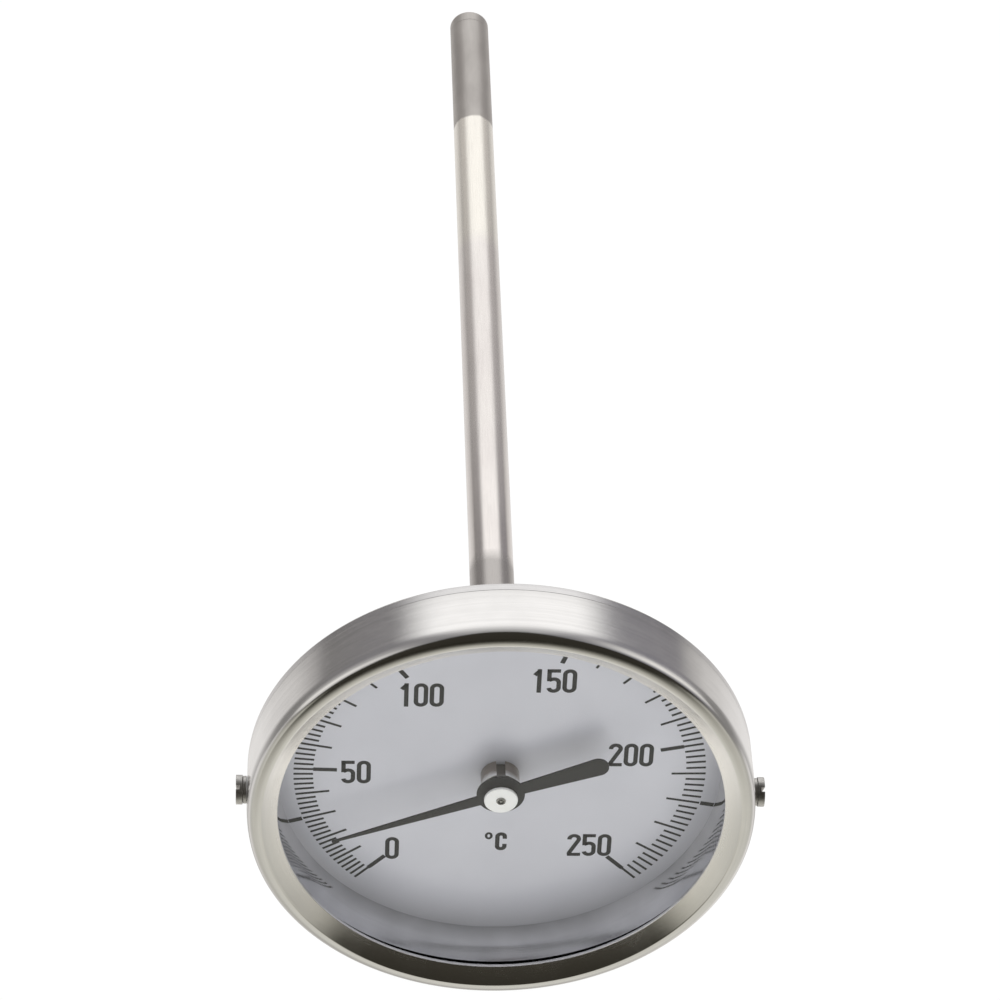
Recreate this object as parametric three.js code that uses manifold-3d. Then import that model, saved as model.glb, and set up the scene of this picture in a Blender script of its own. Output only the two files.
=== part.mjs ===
// Bimetal dial thermometer, back entry, plain round stem.
//
// Frame: millimetres, +Z up (12 o'clock), +X right, the dial faces -Y and the
// stem runs along +Y. The origin is the centre of the stem's flat tip.
//
// Every turned piece is a profile of [radius, y] points revolved about the
// Y axis, which is the axis of the stem, spindle and pointer. In the profiles
// y is counted from the plane of the case's flat rear rim, so front is the lower
// y; one group moves the whole instrument so that the stem's tip comes to the
// origin.

import * as THREE from 'three';
import { mergeVertices } from 'three/addons/utils/BufferGeometryUtils.js';
import Module from 'manifold-3d';

const wasm = await Module();
wasm.setup();

const { degToRad } = THREE.MathUtils;

// --------------------------------------------------------- shared dimensions

// segments round a full turn
const BIG_SEGMENTS = 60;
const MID_SEGMENTS = 30;
const SMALL_SEGMENTS = 20;

// gaps that keep neighbouring pieces apart
const SEAT_GAP = 0.04;          // along the axis, between stacked pieces
const FIT_GAP = 0.05;           // general fit
const SPINDLE_FIT = 0.03;       // radial, pieces fixed on the spindle
const RUNNING_FIT = 0.06;       // radial, bearing bores

const DRUM_R = 53.9;            // outer radius of bezel skirt and case rim
const BOSS_HOLE_R = 8.05;       // hole in the case back
const DISH_Y = 4.0;             // rear plane of the dished back
const GLASS_R = 51.4;
const GLASS_FRONT_Y = -12.4;
const GLASS_REAR_Y = -10.4;
const DIAL_FACE_Y = -1.66;
const BUSH_FRONT_Y = -6.2;      // front end of the dial bush

const SPINDLE_R = 1.0;
const BEARING_R = SPINDLE_R + RUNNING_FIT;
const SPINDLE_HUG_R = SPINDLE_R + SPINDLE_FIT;

const STEM_R = 5.0;
const STEM_IN_R = 4.4;
const STEM_FILL_R = STEM_IN_R - FIT_GAP; // pieces that fill the stem's bore
const STEM_TIP_Y = 279.5;

const HELIX_FRONT_Y = 206.4;
const HELIX_REAR_Y = 262.4;

const CAP_FRONT_Y = -9.7;       // front face of the pointer cap

// ----------------------------------------------------------------- materials

const standard = (settings) => new THREE.MeshStandardMaterial(settings);
const metal = ({ color, roughness }) => standard({ color, roughness, metalness: 1 });
const matt = ({ color, roughness }) => standard({ color, roughness, metalness: 0 });

const materials = {
  caseCup: metal({ color: 0xc4c1bd, roughness: 0.28 }),
  bezel: metal({ color: 0xcbc7c0, roughness: 0.25 }),
  washer: metal({ color: 0x9d9a96, roughness: 0.35 }),
  screw: metal({ color: 0x8f8c88, roughness: 0.3 }),
  windowGasket: matt({ color: 0x1b1b1b, roughness: 0.8 }),
  glass: standard({
    color: 0xf2f7f6, roughness: 0.03, metalness: 0, transparent: true, opacity: 0.12,
  }),
  distanceRing: metal({ color: 0xb6b4b2, roughness: 0.15 }),
  dial: matt({ color: 0xd6d8dc, roughness: 0.5 }),
  dialBush: metal({ color: 0xa49a8e, roughness: 0.25 }),
  bushRing: metal({ color: 0x8a8784, roughness: 0.4 }),
  boss: metal({ color: 0xb9b6b1, roughness: 0.3 }),
  bossGasket: matt({ color: 0x2a2622, roughness: 0.85 }),
  lockNut: metal({ color: 0xa8a49d, roughness: 0.35 }),
  stemTube: metal({ color: 0xc6c0b8, roughness: 0.32 }),
  stemPlug: metal({ color: 0xa9a49d, roughness: 0.4 }),
  bronze: metal({ color: 0xb08d57, roughness: 0.35 }),
  coupling: metal({ color: 0xb49a5e, roughness: 0.35 }),
  spindle: metal({ color: 0xb7b4af, roughness: 0.25 }),
  blade: matt({ color: 0x2b2b2c, roughness: 0.5 }),
  hub: metal({ color: 0x8e8a84, roughness: 0.3 }),
  cap: standard({ color: 0xe9e8e4, roughness: 0.3, metalness: 0.6 }),
};

// ------------------------------------------------------------------- helpers

// Merges seams, drops zero-area triangles at the axis and turns faces outward.
function outward(source) {
  for (const name of Object.keys(source.attributes)) {
    if (name !== 'position') source.deleteAttribute(name);
  }
  const geometry = mergeVertices(source, 1e-5);
  const index = geometry.index.array;
  const triangles = [];
  for (let i = 0; i < index.length; i += 3) {
    const [a, b, c] = [index[i], index[i + 1], index[i + 2]];
    if (a !== b && b !== c && a !== c) triangles.push(a, b, c);
  }
  let volume = 0;
  const corners = [new THREE.Vector3(), new THREE.Vector3(), new THREE.Vector3()];
  for (let i = 0; i < triangles.length; i += 3) {
    corners.forEach((corner, k) => {
      corner.fromBufferAttribute(geometry.attributes.position, triangles[i + k]);
    });
    volume += corners[0].dot(corners[1].cross(corners[2])) / 6;
  }
  if (volume < 0) {
    for (let i = 0; i < triangles.length; i += 3) {
      [triangles[i], triangles[i + 1]] = [triangles[i + 1], triangles[i]];
    }
  }
  geometry.setIndex(triangles);
  return geometry;
}

// Solid of revolution about Y; the profile is closed on itself unless both of
// its ends lie on the axis.
function turned(profile, segments) {
  const points = profile.map(([radius, y]) => new THREE.Vector2(radius, y));
  const closed = profile[0][0] > 0 || profile.at(-1)[0] > 0;
  if (closed) points.push(points[0].clone());
  return outward(new THREE.LatheGeometry(points, segments));
}

// Square-edged ring about Y; a plain disc where innerR is 0.
function sleeve(innerR, outerR, frontY, rearY, segments) {
  return turned([
    [innerR, frontY], [outerR, frontY], [outerR, rearY], [innerR, rearY],
  ], segments);
}

// [radius, y] points of an arc about [centreR, centreY]; angles in degrees,
// 0 towards the outside and -90 towards the front.
function arc(centreR, centreY, radius, startDeg, endDeg, steps) {
  const points = [];
  for (let i = 0; i <= steps; i++) {
    const angle = degToRad(startDeg + (endDeg - startDeg) * i / steps);
    points.push([centreR + radius * Math.cos(angle), centreY + radius * Math.sin(angle)]);
  }
  return points;
}

function toSolid(source) {
  const geometry = outward(source);
  return new wasm.Manifold(new wasm.Mesh({
    numProp: 3,
    vertProperties: new Float32Array(geometry.attributes.position.array),
    triVerts: new Uint32Array(geometry.index.array),
  }));
}

function indexedGeometry(positions, indices) {
  const geometry = new THREE.BufferGeometry();
  const coordinates = new Float32Array(positions);
  geometry.setAttribute('position', new THREE.BufferAttribute(coordinates, 3));
  geometry.setIndex(indices);
  return geometry;
}

function toGeometry(solid) {
  const mesh = solid.getMesh();
  return indexedGeometry(mesh.vertProperties, Array.from(mesh.triVerts));
}

const root = new THREE.Group();
root.position.y = -STEM_TIP_Y;

function add(name, geometry, material) {
  geometry.computeVertexNormals();
  const mesh = new THREE.Mesh(geometry, material);
  mesh.name = name;
  root.add(mesh);
}

// -------------------------------------------------------------- bezel screws

const SCREW_Y = -6.6;
const SCREW_HOLE = { cupR: 1.35, bezelR: 1.6, innerX: 48, outerX: 56 };
const SCREW = {
  shankR: 1.25,
  shankInnerX: 50.3,
  shankOverlap: 0.5,            // shank runs this far into the head
  headR: 3.15,
  headThick: 1.4,
  slotDepth: 0.75,
  slotWidth: 0.9,
  slotLength: 8,                // longer than the head is wide
  slotTurn: 35,                 // degrees about X
};
const WASHER = { outerR: 2.95, boreR: 1.65, thick: 0.8, innerX: DRUM_R + 0.08 };

// Round bar along X at screw height, from innerX to outerX from the main axis;
// side is -1 for left and 1 for right.
function sideBar(side, radius, innerX, outerX) {
  const bar = new THREE.CylinderGeometry(radius, radius, outerX - innerX, SMALL_SEGMENTS);
  bar.rotateZ(Math.PI / 2);
  bar.translate(side * (innerX + outerX) / 2, SCREW_Y, 0);
  return toSolid(bar);
}

// Screw holes at 3 and 9 o'clock.
function drillSides(solid, radius) {
  for (const side of [-1, 1]) {
    solid = solid.subtract(sideBar(side, radius, SCREW_HOLE.innerX, SCREW_HOLE.outerX));
  }
  return solid;
}

function washer(side) {
  const { outerR, boreR, thick, innerX } = WASHER;
  const disc = sideBar(side, outerR, innerX, innerX + thick);
  return toGeometry(disc.subtract(sideBar(side, boreR, innerX - 1, innerX + 2)));
}

// Slotted cheese-head screw.
function screw(side) {
  const headX = WASHER.innerX + WASHER.thick + FIT_GAP;
  const topX = headX + SCREW.headThick;
  const shank = sideBar(side, SCREW.shankR, SCREW.shankInnerX, headX + SCREW.shankOverlap);
  const head = sideBar(side, SCREW.headR, headX, topX);
  const slot = new THREE.BoxGeometry(2 * SCREW.slotDepth, SCREW.slotWidth, SCREW.slotLength);
  slot.rotateX(degToRad(SCREW.slotTurn));
  slot.translate(side * topX, SCREW_Y, 0);
  return toGeometry(shank.add(head).subtract(toSolid(slot)));
}

// ---------------------------------------------------------------------- case

const CASE_WALL_R = 52.6;       // case wall under the skirt
const CASE_SHEET = 0.9;         // sheet thickness
const CASE_WALL_FRONT_Y = -12.0;
const CASE_RIM_Y = -2.2;        // step where the skirt ends
const RIM_ROUND = 0.6;
const DISH_OUTER_R = 42.0;      // start of the dished back
const DISH_FLAT_R = 39.2;       // flat centre of the dished back

// One pressed cup: wall that carries the bezel, rim flush with the skirt,
// flat rear seat and a shallow dish with the hole for the boss.
function caseCup() {
  const wallInR = CASE_WALL_R - CASE_SHEET;
  const outside = [
    [CASE_WALL_R, CASE_WALL_FRONT_Y],
    [CASE_WALL_R, CASE_RIM_Y],
    [DRUM_R, CASE_RIM_Y],
    ...arc(DRUM_R - RIM_ROUND, -RIM_ROUND, RIM_ROUND, 0, 90, 3),
    [DISH_OUTER_R, 0],
    [DISH_OUTER_R - 0.9, 0.35],
    [DISH_FLAT_R, DISH_Y - 0.3],
    [DISH_FLAT_R - 0.9, DISH_Y],
    [BOSS_HOLE_R, DISH_Y],
  ];
  const inside = [
    [BOSS_HOLE_R, DISH_Y - CASE_SHEET],
    [DISH_FLAT_R - 1.6, DISH_Y - CASE_SHEET],
    [DISH_OUTER_R - 1.9, -CASE_SHEET + 0.25],
    [DISH_OUTER_R - 1.0, -CASE_SHEET],
    [wallInR - 0.6, -CASE_SHEET],
    [wallInR, -CASE_SHEET - 0.6],
    [wallInR, CASE_WALL_FRONT_Y],
  ];
  const cup = toSolid(turned([...outside, ...inside], BIG_SEGMENTS));
  return toGeometry(drillSides(cup, SCREW_HOLE.cupR));
}

add('case_cup', caseCup(), materials.caseCup);

// --------------------------------------------------------------------- bezel

const BEZEL_FRONT_Y = -16.08;   // frontmost circle of the bezel
const SKIRT_REAR_Y = -2.35;
const SKIRT_IN_R = 52.75;
const SHOULDER_R = 12;          // the bezel's side eases in with this radius,
const SHOULDER_TURN = 12;       // through this many degrees,
const CORNER_R = 1.2;           // then turns over a tighter corner
const CORNER_TURN = 80;         // to this many degrees, on to an almost flat front
const CREST_CENTRE_R = 51.07;   // where the front is furthest forward
const CREST_R = 0.8;            // rounding of that crest
const FACE_SLOPE = 33.3;        // degrees the face drops towards the opening
const LIP_R = 47.36;            // radius of the window opening
const LIP_Y = -13.5;            // plane of the opening's narrowest edge

// Outline of the nose: shoulder, corner, almost flat front, crest; it ends where
// it is tangent to the sloping face.
function nose() {
  const shoulder = degToRad(SHOULDER_TURN);
  const corner = degToRad(CORNER_TURN);
  const shoulderCentreR = DRUM_R - SHOULDER_R;
  const cornerCentreR = shoulderCentreR + (SHOULDER_R - CORNER_R) * Math.cos(shoulder);
  const crestY = BEZEL_FRONT_Y + CREST_R;
  // radial width of the almost flat front
  const run = cornerCentreR - CREST_CENTRE_R + (CORNER_R - CREST_R) * Math.cos(corner);
  const cornerY = crestY + (CORNER_R - CREST_R) * Math.sin(corner) + run / Math.tan(corner);
  const shoulderY = cornerY + (SHOULDER_R - CORNER_R) * Math.sin(shoulder);
  return [
    ...arc(shoulderCentreR, shoulderY, SHOULDER_R, 0, -SHOULDER_TURN, 2),
    ...arc(cornerCentreR, cornerY, CORNER_R, -SHOULDER_TURN, -CORNER_TURN, 4).slice(1),
    ...arc(CREST_CENTRE_R, crestY, CREST_R, -CORNER_TURN, -90 - FACE_SLOPE, 2),
  ];
}

// Slip-on bezel: skirt, rounded nose, face that slopes in to the opening.
function bezelRing() {
  const lip = [
    [LIP_R + 0.32, LIP_Y - 0.51],
    [LIP_R + 0.08, LIP_Y - 0.24],
    [LIP_R, LIP_Y],
    [LIP_R + 0.06, LIP_Y + 0.4],
    [LIP_R + 0.44, LIP_Y + 0.7],
  ];
  const innerCorner = [
    [51.75, -14.62],
    [52.45, -14.5],
    [SKIRT_IN_R, -13.9],
  ];
  const skirtEnd = [[SKIRT_IN_R, SKIRT_REAR_Y], [DRUM_R, SKIRT_REAR_Y]];
  const ring = toSolid(turned([...skirtEnd, ...nose(), ...lip, ...innerCorner], BIG_SEGMENTS));
  return toGeometry(drillSides(ring, SCREW_HOLE.bezelR));
}

add('bezel_ring', bezelRing(), materials.bezel);

for (const [name, side] of [['left', -1], ['right', 1]]) {
  add(`bezel_washer_${name}`, washer(side), materials.washer);
  add(`bezel_screw_${name}`, screw(side), materials.screw);
}

// -------------------------------------------------------------- window stack

const GLASS_BEVEL = 0.3;
const RING_IN_R = 47.4;         // distance ring, inside at the dial
const RING_OUT_R = 49.2;        // distance ring, outside at the dial
const RING_SHOULDER_Y = -9.5;   // shoulder that carries the rear gasket
const RING_SHOULDER_THICK = 0.8;
const RING_LIP_R = 50.15;       // the ring's front lip, inside that gasket
const RING_FLARE_R = 49.5;      // the ring's inside flares to this at the window

// tapered in front to follow the bezel's sloping face
add('front_window_gasket', turned([
  [48.0, -12.79], [51.3, -14.33],
  [51.3, GLASS_FRONT_Y - SEAT_GAP], [48.0, GLASS_FRONT_Y - SEAT_GAP],
], BIG_SEGMENTS), materials.windowGasket);

add('window_glass', turned([
  [0, GLASS_FRONT_Y],
  [GLASS_R - GLASS_BEVEL, GLASS_FRONT_Y], [GLASS_R, GLASS_FRONT_Y + GLASS_BEVEL],
  [GLASS_R, GLASS_REAR_Y - GLASS_BEVEL], [GLASS_R - GLASS_BEVEL, GLASS_REAR_Y],
  [0, GLASS_REAR_Y],
], BIG_SEGMENTS), materials.glass);

add('rear_window_gasket', sleeve(
  RING_LIP_R + 0.1, 51.2, GLASS_REAR_Y + FIT_GAP, RING_SHOULDER_Y - FIT_GAP, BIG_SEGMENTS,
), materials.windowGasket);

// Distance ring between window and dial: its lip backs the window and its
// shoulder carries the rear gasket.
function distanceRing() {
  const lipY = GLASS_REAR_Y + 0.08;
  const shoulderRearY = RING_SHOULDER_Y + RING_SHOULDER_THICK;
  const rearY = DIAL_FACE_Y - SEAT_GAP;
  return turned([
    [RING_FLARE_R, lipY], [RING_LIP_R, lipY], [RING_LIP_R, RING_SHOULDER_Y],
    [GLASS_R, RING_SHOULDER_Y], [GLASS_R, shoulderRearY], [50.4, shoulderRearY],
    [RING_OUT_R, -5.5], [RING_OUT_R, rearY], [RING_IN_R, rearY],
    // flared inner wall, from the dial forward
    [47.92, -4.91], [48.14, -5.99], [48.43, -7.05],
  ], BIG_SEGMENTS);
}

add('distance_ring', distanceRing(), materials.distanceRing);

// ---------------------------------------------------------------------- dial

const DIAL_R = RING_OUT_R;
const DIAL_REAR_Y = DIAL_FACE_Y + 0.6;
const DIAL_HOLE_R = 2.6;
const BUSH_R = 4.15;
const BUSH_REAR_Y = 0.3;
const BUSH_BEVEL = 0.4;
const BUSH_RING = { outerR: 5.6, thick: 0.6 };
const KEYWAY = { width: 1.9, length: 6, height: 2, centreY: -4.5, floorZ: 3.1 };

add('dial_plate', sleeve(
  DIAL_HOLE_R, DIAL_R, DIAL_FACE_Y, DIAL_REAR_Y, BIG_SEGMENTS,
), materials.dial);

// Bearing bush seated in the dial, with a keyway on the 12 o'clock side.
function dialBush() {
  const neckR = DIAL_HOLE_R - 0.08;
  const seatY = DIAL_FACE_Y - 0.03;
  const bush = toSolid(turned([
    [BEARING_R, BUSH_FRONT_Y],
    [BUSH_R - BUSH_BEVEL, BUSH_FRONT_Y], [BUSH_R, BUSH_FRONT_Y + BUSH_BEVEL],
    [BUSH_R, seatY], [neckR, seatY],
    [neckR, BUSH_REAR_Y], [BEARING_R, BUSH_REAR_Y],
  ], MID_SEGMENTS));
  const keyway = new THREE.BoxGeometry(KEYWAY.width, KEYWAY.length, KEYWAY.height);
  keyway.translate(0, KEYWAY.centreY, KEYWAY.floorZ + KEYWAY.height / 2);
  return toGeometry(bush.subtract(toSolid(keyway)));
}

add('dial_bush', dialBush(), materials.dialBush);

const bushRingY = DIAL_REAR_Y + SEAT_GAP;
add('dial_bush_ring', sleeve(
  DIAL_HOLE_R + 0.02, BUSH_RING.outerR, bushRingY, bushRingY + BUSH_RING.thick, MID_SEGMENTS,
), materials.bushRing);

// ------------------------------------------------------------- head and stem

const FLANGE_R = 12.0;
const FLANGE_FRONT_Y = 4.5;
const FLANGE_REAR_Y = 10.5;
const FLANGE_BEVEL = 0.5;
const BOSS_FRONT_Y = 0.6;
const NOSE_R = 7.6;             // boss behind the flange
const NOSE_REAR_Y = 14.5;
const NOSE_BEVEL = 0.8;
const ACROSS_FLATS = 21.0;      // the two spanner flats, facing up and down
const FLAT_CUT = { width: 30, overrun: 0.6, height: 8 };
const LOCK_NUT = { cornerR: 12.4, thick: 2.3, centreY: 1.9, boreLength: 10 };
const TUBE_FRONT_Y = 1.0;
const TUBE_REAR_Y = 275.4;
const PLUG_INSERT = 4.6;        // length of the tip plug inside the tube
const TIP_ROUND = 1.2;

function stemBoss() {
  const boreR = STEM_R + 0.04;
  const spigotR = BOSS_HOLE_R - 0.1;
  let boss = toSolid(turned([
    [boreR, BOSS_FRONT_Y], [spigotR, BOSS_FRONT_Y], [spigotR, FLANGE_FRONT_Y],
    [FLANGE_R - FLANGE_BEVEL, FLANGE_FRONT_Y], [FLANGE_R, FLANGE_FRONT_Y + FLANGE_BEVEL],
    [FLANGE_R, FLANGE_REAR_Y - FLANGE_BEVEL], [FLANGE_R - FLANGE_BEVEL, FLANGE_REAR_Y],
    [NOSE_R, FLANGE_REAR_Y], [NOSE_R, NOSE_REAR_Y - NOSE_BEVEL],
    [NOSE_R - NOSE_BEVEL, NOSE_REAR_Y], [boreR, NOSE_REAR_Y],
  ], MID_SEGMENTS));
  const cutLength = FLANGE_REAR_Y - FLANGE_FRONT_Y + FLAT_CUT.overrun;
  const cutY = (FLANGE_FRONT_Y + FLANGE_REAR_Y) / 2;
  for (const side of [-1, 1]) {
    const cut = new THREE.BoxGeometry(FLAT_CUT.width, cutLength, FLAT_CUT.height);
    cut.translate(0, cutY, side * (ACROSS_FLATS + FLAT_CUT.height) / 2);
    boss = boss.subtract(toSolid(cut));
  }
  return toGeometry(boss);
}

function lockNut() {
  const { cornerR, thick, centreY, boreLength } = LOCK_NUT;
  const hexagon = new THREE.CylinderGeometry(cornerR, cornerR, thick, 6);
  const bore = new THREE.CylinderGeometry(BOSS_HOLE_R, BOSS_HOLE_R, boreLength, MID_SEGMENTS);
  hexagon.translate(0, centreY, 0);
  bore.translate(0, centreY, 0);
  return toGeometry(toSolid(hexagon).subtract(toSolid(bore)));
}

add('stem_boss', stemBoss(), materials.boss);

add('boss_gasket', sleeve(
  BOSS_HOLE_R + FIT_GAP, 11.0, DISH_Y + SEAT_GAP, FLANGE_FRONT_Y - SEAT_GAP, MID_SEGMENTS,
), materials.bossGasket);

add('boss_lock_nut', lockNut(), materials.lockNut);

add('stem_tube', sleeve(
  STEM_IN_R, STEM_R, TUBE_FRONT_Y, TUBE_REAR_Y, MID_SEGMENTS,
), materials.stemTube);

add('stem_tip_plug', turned([
  [0, TUBE_REAR_Y - PLUG_INSERT], [STEM_FILL_R, TUBE_REAR_Y - PLUG_INSERT],
  [STEM_FILL_R, TUBE_REAR_Y + SEAT_GAP], [STEM_R, TUBE_REAR_Y + SEAT_GAP],
  ...arc(STEM_R - TIP_ROUND, STEM_TIP_Y - TIP_ROUND, TIP_ROUND, 0, 90, 3),
  [0, STEM_TIP_Y],
], MID_SEGMENTS), materials.stemPlug);

// ------------------------------------------------------------ measuring train

const HELIX = { meanR: 3.1, thick: 0.45, width: 2.6, turns: 13, stepsPerTurn: 12 };
const HELIX_GAP = 0.08;         // axial gap to the pieces at either end
const ANCHOR_REAR_Y = HELIX_REAR_Y + 4.9;
const SPINDLE_BEVEL = 0.25;
const GUIDE_LENGTH = 5;

// Coil of flat strip, modelled at rest; its rear end faces the anchor and its
// front end the coupling.
function bimetalHelix() {
  const { meanR, thick, width, turns, stepsPerTurn } = HELIX;
  const steps = turns * stepsPerTurn;
  const startY = HELIX_FRONT_Y + width / 2;
  const endY = HELIX_REAR_Y - width / 2;
  // corners of the strip's section: [radial, axial] side
  const section = [[-1, -1], [1, -1], [1, 1], [-1, 1]];
  const positions = [];
  for (let i = 0; i <= steps; i++) {
    const angle = (i / stepsPerTurn) * 2 * Math.PI;
    const centreY = startY + (endY - startY) * i / steps;
    for (const [radial, axial] of section) {
      const radius = meanR + radial * thick / 2;
      const y = centreY + axial * width / 2;
      positions.push(radius * Math.sin(angle), y, radius * Math.cos(angle));
    }
  }
  const indices = [];
  for (let i = 0; i < steps; i++) {
    for (let k = 0; k < 4; k++) {
      const here = i * 4 + k;
      const beside = i * 4 + (k + 1) % 4;
      indices.push(here, beside, here + 4, beside, beside + 4, here + 4);
    }
  }
  const last = steps * 4;
  indices.push(0, 2, 1, 0, 3, 2);
  indices.push(last, last + 1, last + 2, last, last + 2, last + 3);
  return outward(indexedGeometry(positions, indices));
}

// Cup-ended coupling: wide rear head, narrow neck bored for the spindle.
function helixCoupling() {
  const rearY = HELIX_FRONT_Y - HELIX_GAP;
  const frontY = HELIX_FRONT_Y - 8.0;
  const boreEndY = HELIX_FRONT_Y - 2.0;
  return turned([
    [0, rearY], [3.0, rearY], [3.3, rearY - 0.3], [3.3, HELIX_FRONT_Y - 2.6],
    [1.9, HELIX_FRONT_Y - 3.2], [1.9, frontY], [SPINDLE_HUG_R, frontY],
    [SPINDLE_HUG_R, boreEndY], [0, boreEndY],
  ], SMALL_SEGMENTS);
}

add('bimetal_helix', bimetalHelix(), materials.bronze);

add('helix_anchor', sleeve(
  0, STEM_FILL_R, HELIX_REAR_Y + HELIX_GAP, ANCHOR_REAR_Y, SMALL_SEGMENTS,
), materials.stemPlug);

add('helix_coupling', helixCoupling(), materials.coupling);

add('spindle', turned([
  [0, CAP_FRONT_Y - SPINDLE_BEVEL], [SPINDLE_R - SPINDLE_BEVEL, CAP_FRONT_Y - SPINDLE_BEVEL],
  [SPINDLE_R, CAP_FRONT_Y],
  [SPINDLE_R, HELIX_FRONT_Y - 2.2], [0, HELIX_FRONT_Y - 2.2],
], SMALL_SEGMENTS), materials.spindle);

for (const [name, frontY] of [['upper', 3], ['middle', 95], ['lower', 188]]) {
  add(`guide_bush_${name}`, sleeve(
    BEARING_R, STEM_FILL_R, frontY, frontY + GUIDE_LENGTH, SMALL_SEGMENTS,
  ), materials.bronze);
}

// ------------------------------------------------------------------- pointer

const REST_ANGLE = -112.2;      // degrees from 12 o'clock, clockwise seen from the front
const BLADE_FRONT_Y = -7.95;
const BLADE_THICK = 0.5;
const BLADE_REAR_Y = BLADE_FRONT_Y + BLADE_THICK;
const BLADE = {
  tipR: 38.6,                   // reach of the needle from the axis
  tailR: 24.3,                  // reach of the tail
  bossR: 5.15,
  bossSteps: 12,
  tipHalf: 0.22,                // half widths of needle tip, needle root, tail root
  needleHalf: 1.25,
  tailHalf: 1.45,
  paddleR: 2.35,                // rounded end of the tail
  paddleSteps: 8,
  paddleStart: 0.06,            // radians the rounding starts ahead of its centre
};
const HUB_R = 2.9;
const CAP = { headR: 3.6, neckR: 2.3, headThick: 0.6, bevel: 0.2 };

// Blade outline in XY about the axis, needle towards +Y.
function bladeOutline() {
  const { bossR, bossSteps, paddleR, paddleSteps, paddleStart } = BLADE;
  const needleAngle = Math.asin(BLADE.needleHalf / bossR);
  const tailAngle = Math.asin(BLADE.tailHalf / bossR);
  const rightSide = [
    [BLADE.tipHalf, BLADE.tipR],
    [BLADE.needleHalf, bossR * Math.cos(needleAngle)],
  ];
  for (let i = 1; i < bossSteps; i++) {
    const angle = needleAngle + (Math.PI - tailAngle - needleAngle) * i / bossSteps;
    rightSide.push([bossR * Math.sin(angle), bossR * Math.cos(angle)]);
  }
  rightSide.push([BLADE.tailHalf, -bossR * Math.cos(tailAngle)]);
  const leftSide = rightSide.map(([x, y]) => [-x, y]).reverse();

  const paddleY = paddleR - BLADE.tailR;
  const startX = paddleR * Math.cos(paddleStart);
  const startY = paddleY + paddleR * Math.sin(paddleStart);
  const paddle = [[startX, startY]];
  for (let i = 1; i < paddleSteps; i++) {
    const angle = Math.PI * i / paddleSteps;
    paddle.push([paddleR * Math.cos(angle), paddleY - paddleR * Math.sin(angle)]);
  }
  paddle.push([-startX, startY]);
  return [...rightSide, ...paddle, ...leftSide];
}

// Tapered needle, round boss with the spindle hole, paddle tail.
function pointerBlade() {
  const shape = new THREE.Shape(bladeOutline().map(([x, y]) => new THREE.Vector2(x, y)));
  shape.closePath();
  const plate = new THREE.ExtrudeGeometry(shape, { depth: BLADE_THICK, bevelEnabled: false });
  // stand the outline up in XZ, its thickness along the stem axis
  plate.rotateX(Math.PI / 2);
  plate.translate(0, BLADE_REAR_Y, 0);
  plate.rotateY(degToRad(REST_ANGLE));
  const boreR = SPINDLE_R + FIT_GAP;
  const bore = new THREE.CylinderGeometry(boreR, boreR, 4, SMALL_SEGMENTS);
  bore.translate(0, BLADE_FRONT_Y, 0);
  return toGeometry(toSolid(plate).subtract(toSolid(bore)));
}

add('pointer_blade', pointerBlade(), materials.blade);

add('pointer_hub', sleeve(
  SPINDLE_HUG_R, HUB_R, BLADE_REAR_Y + SEAT_GAP, BUSH_FRONT_Y - 0.35, SMALL_SEGMENTS,
), materials.hub);

add('pointer_cap', turned([
  [SPINDLE_HUG_R, CAP_FRONT_Y],
  [CAP.headR - CAP.bevel, CAP_FRONT_Y], [CAP.headR, CAP_FRONT_Y + CAP.bevel],
  [CAP.headR, CAP_FRONT_Y + CAP.headThick], [CAP.neckR, CAP_FRONT_Y + CAP.headThick],
  [CAP.neckR, BLADE_FRONT_Y - SEAT_GAP], [SPINDLE_HUG_R, BLADE_FRONT_Y - SEAT_GAP],
], MID_SEGMENTS), materials.cap);

const thermometer = new THREE.Group();
thermometer.add(root);

export default thermometer;
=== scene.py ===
"""Dial thermometer with a straight stem and a bimetal helix.

The dial faces -y, which is the front. The stem runs along +y, its axis on x = z = 0.
12 o'clock on the dial is +z, 3 o'clock is +x. Shapes are in millimetres, with y counted
from the plane of the case's flat rear rim.
"""
import bpy
import bmesh
import math
from mathutils import Matrix, Vector


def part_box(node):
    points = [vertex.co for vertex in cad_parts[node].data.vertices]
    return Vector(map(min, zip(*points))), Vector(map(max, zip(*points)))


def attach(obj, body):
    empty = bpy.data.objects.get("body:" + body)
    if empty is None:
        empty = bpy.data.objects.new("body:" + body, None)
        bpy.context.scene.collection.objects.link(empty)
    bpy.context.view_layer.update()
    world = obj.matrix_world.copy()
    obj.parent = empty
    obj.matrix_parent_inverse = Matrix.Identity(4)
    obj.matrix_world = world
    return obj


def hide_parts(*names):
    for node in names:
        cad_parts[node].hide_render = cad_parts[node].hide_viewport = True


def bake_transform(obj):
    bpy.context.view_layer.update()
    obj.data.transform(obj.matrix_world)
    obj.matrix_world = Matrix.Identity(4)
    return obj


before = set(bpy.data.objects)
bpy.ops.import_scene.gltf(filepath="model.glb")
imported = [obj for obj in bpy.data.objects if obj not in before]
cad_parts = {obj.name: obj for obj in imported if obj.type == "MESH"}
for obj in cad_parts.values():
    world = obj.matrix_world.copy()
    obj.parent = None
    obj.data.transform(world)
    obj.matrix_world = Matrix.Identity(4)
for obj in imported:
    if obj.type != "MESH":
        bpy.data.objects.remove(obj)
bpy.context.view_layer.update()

MM = 0.001
DIAL_FRONT = -1.66                                   # y of the printed face
DIAL_BACK = -1.06
RIM_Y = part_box("dial_plate")[0].y / MM - DIAL_FRONT  # rear rim plane in the frame

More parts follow.
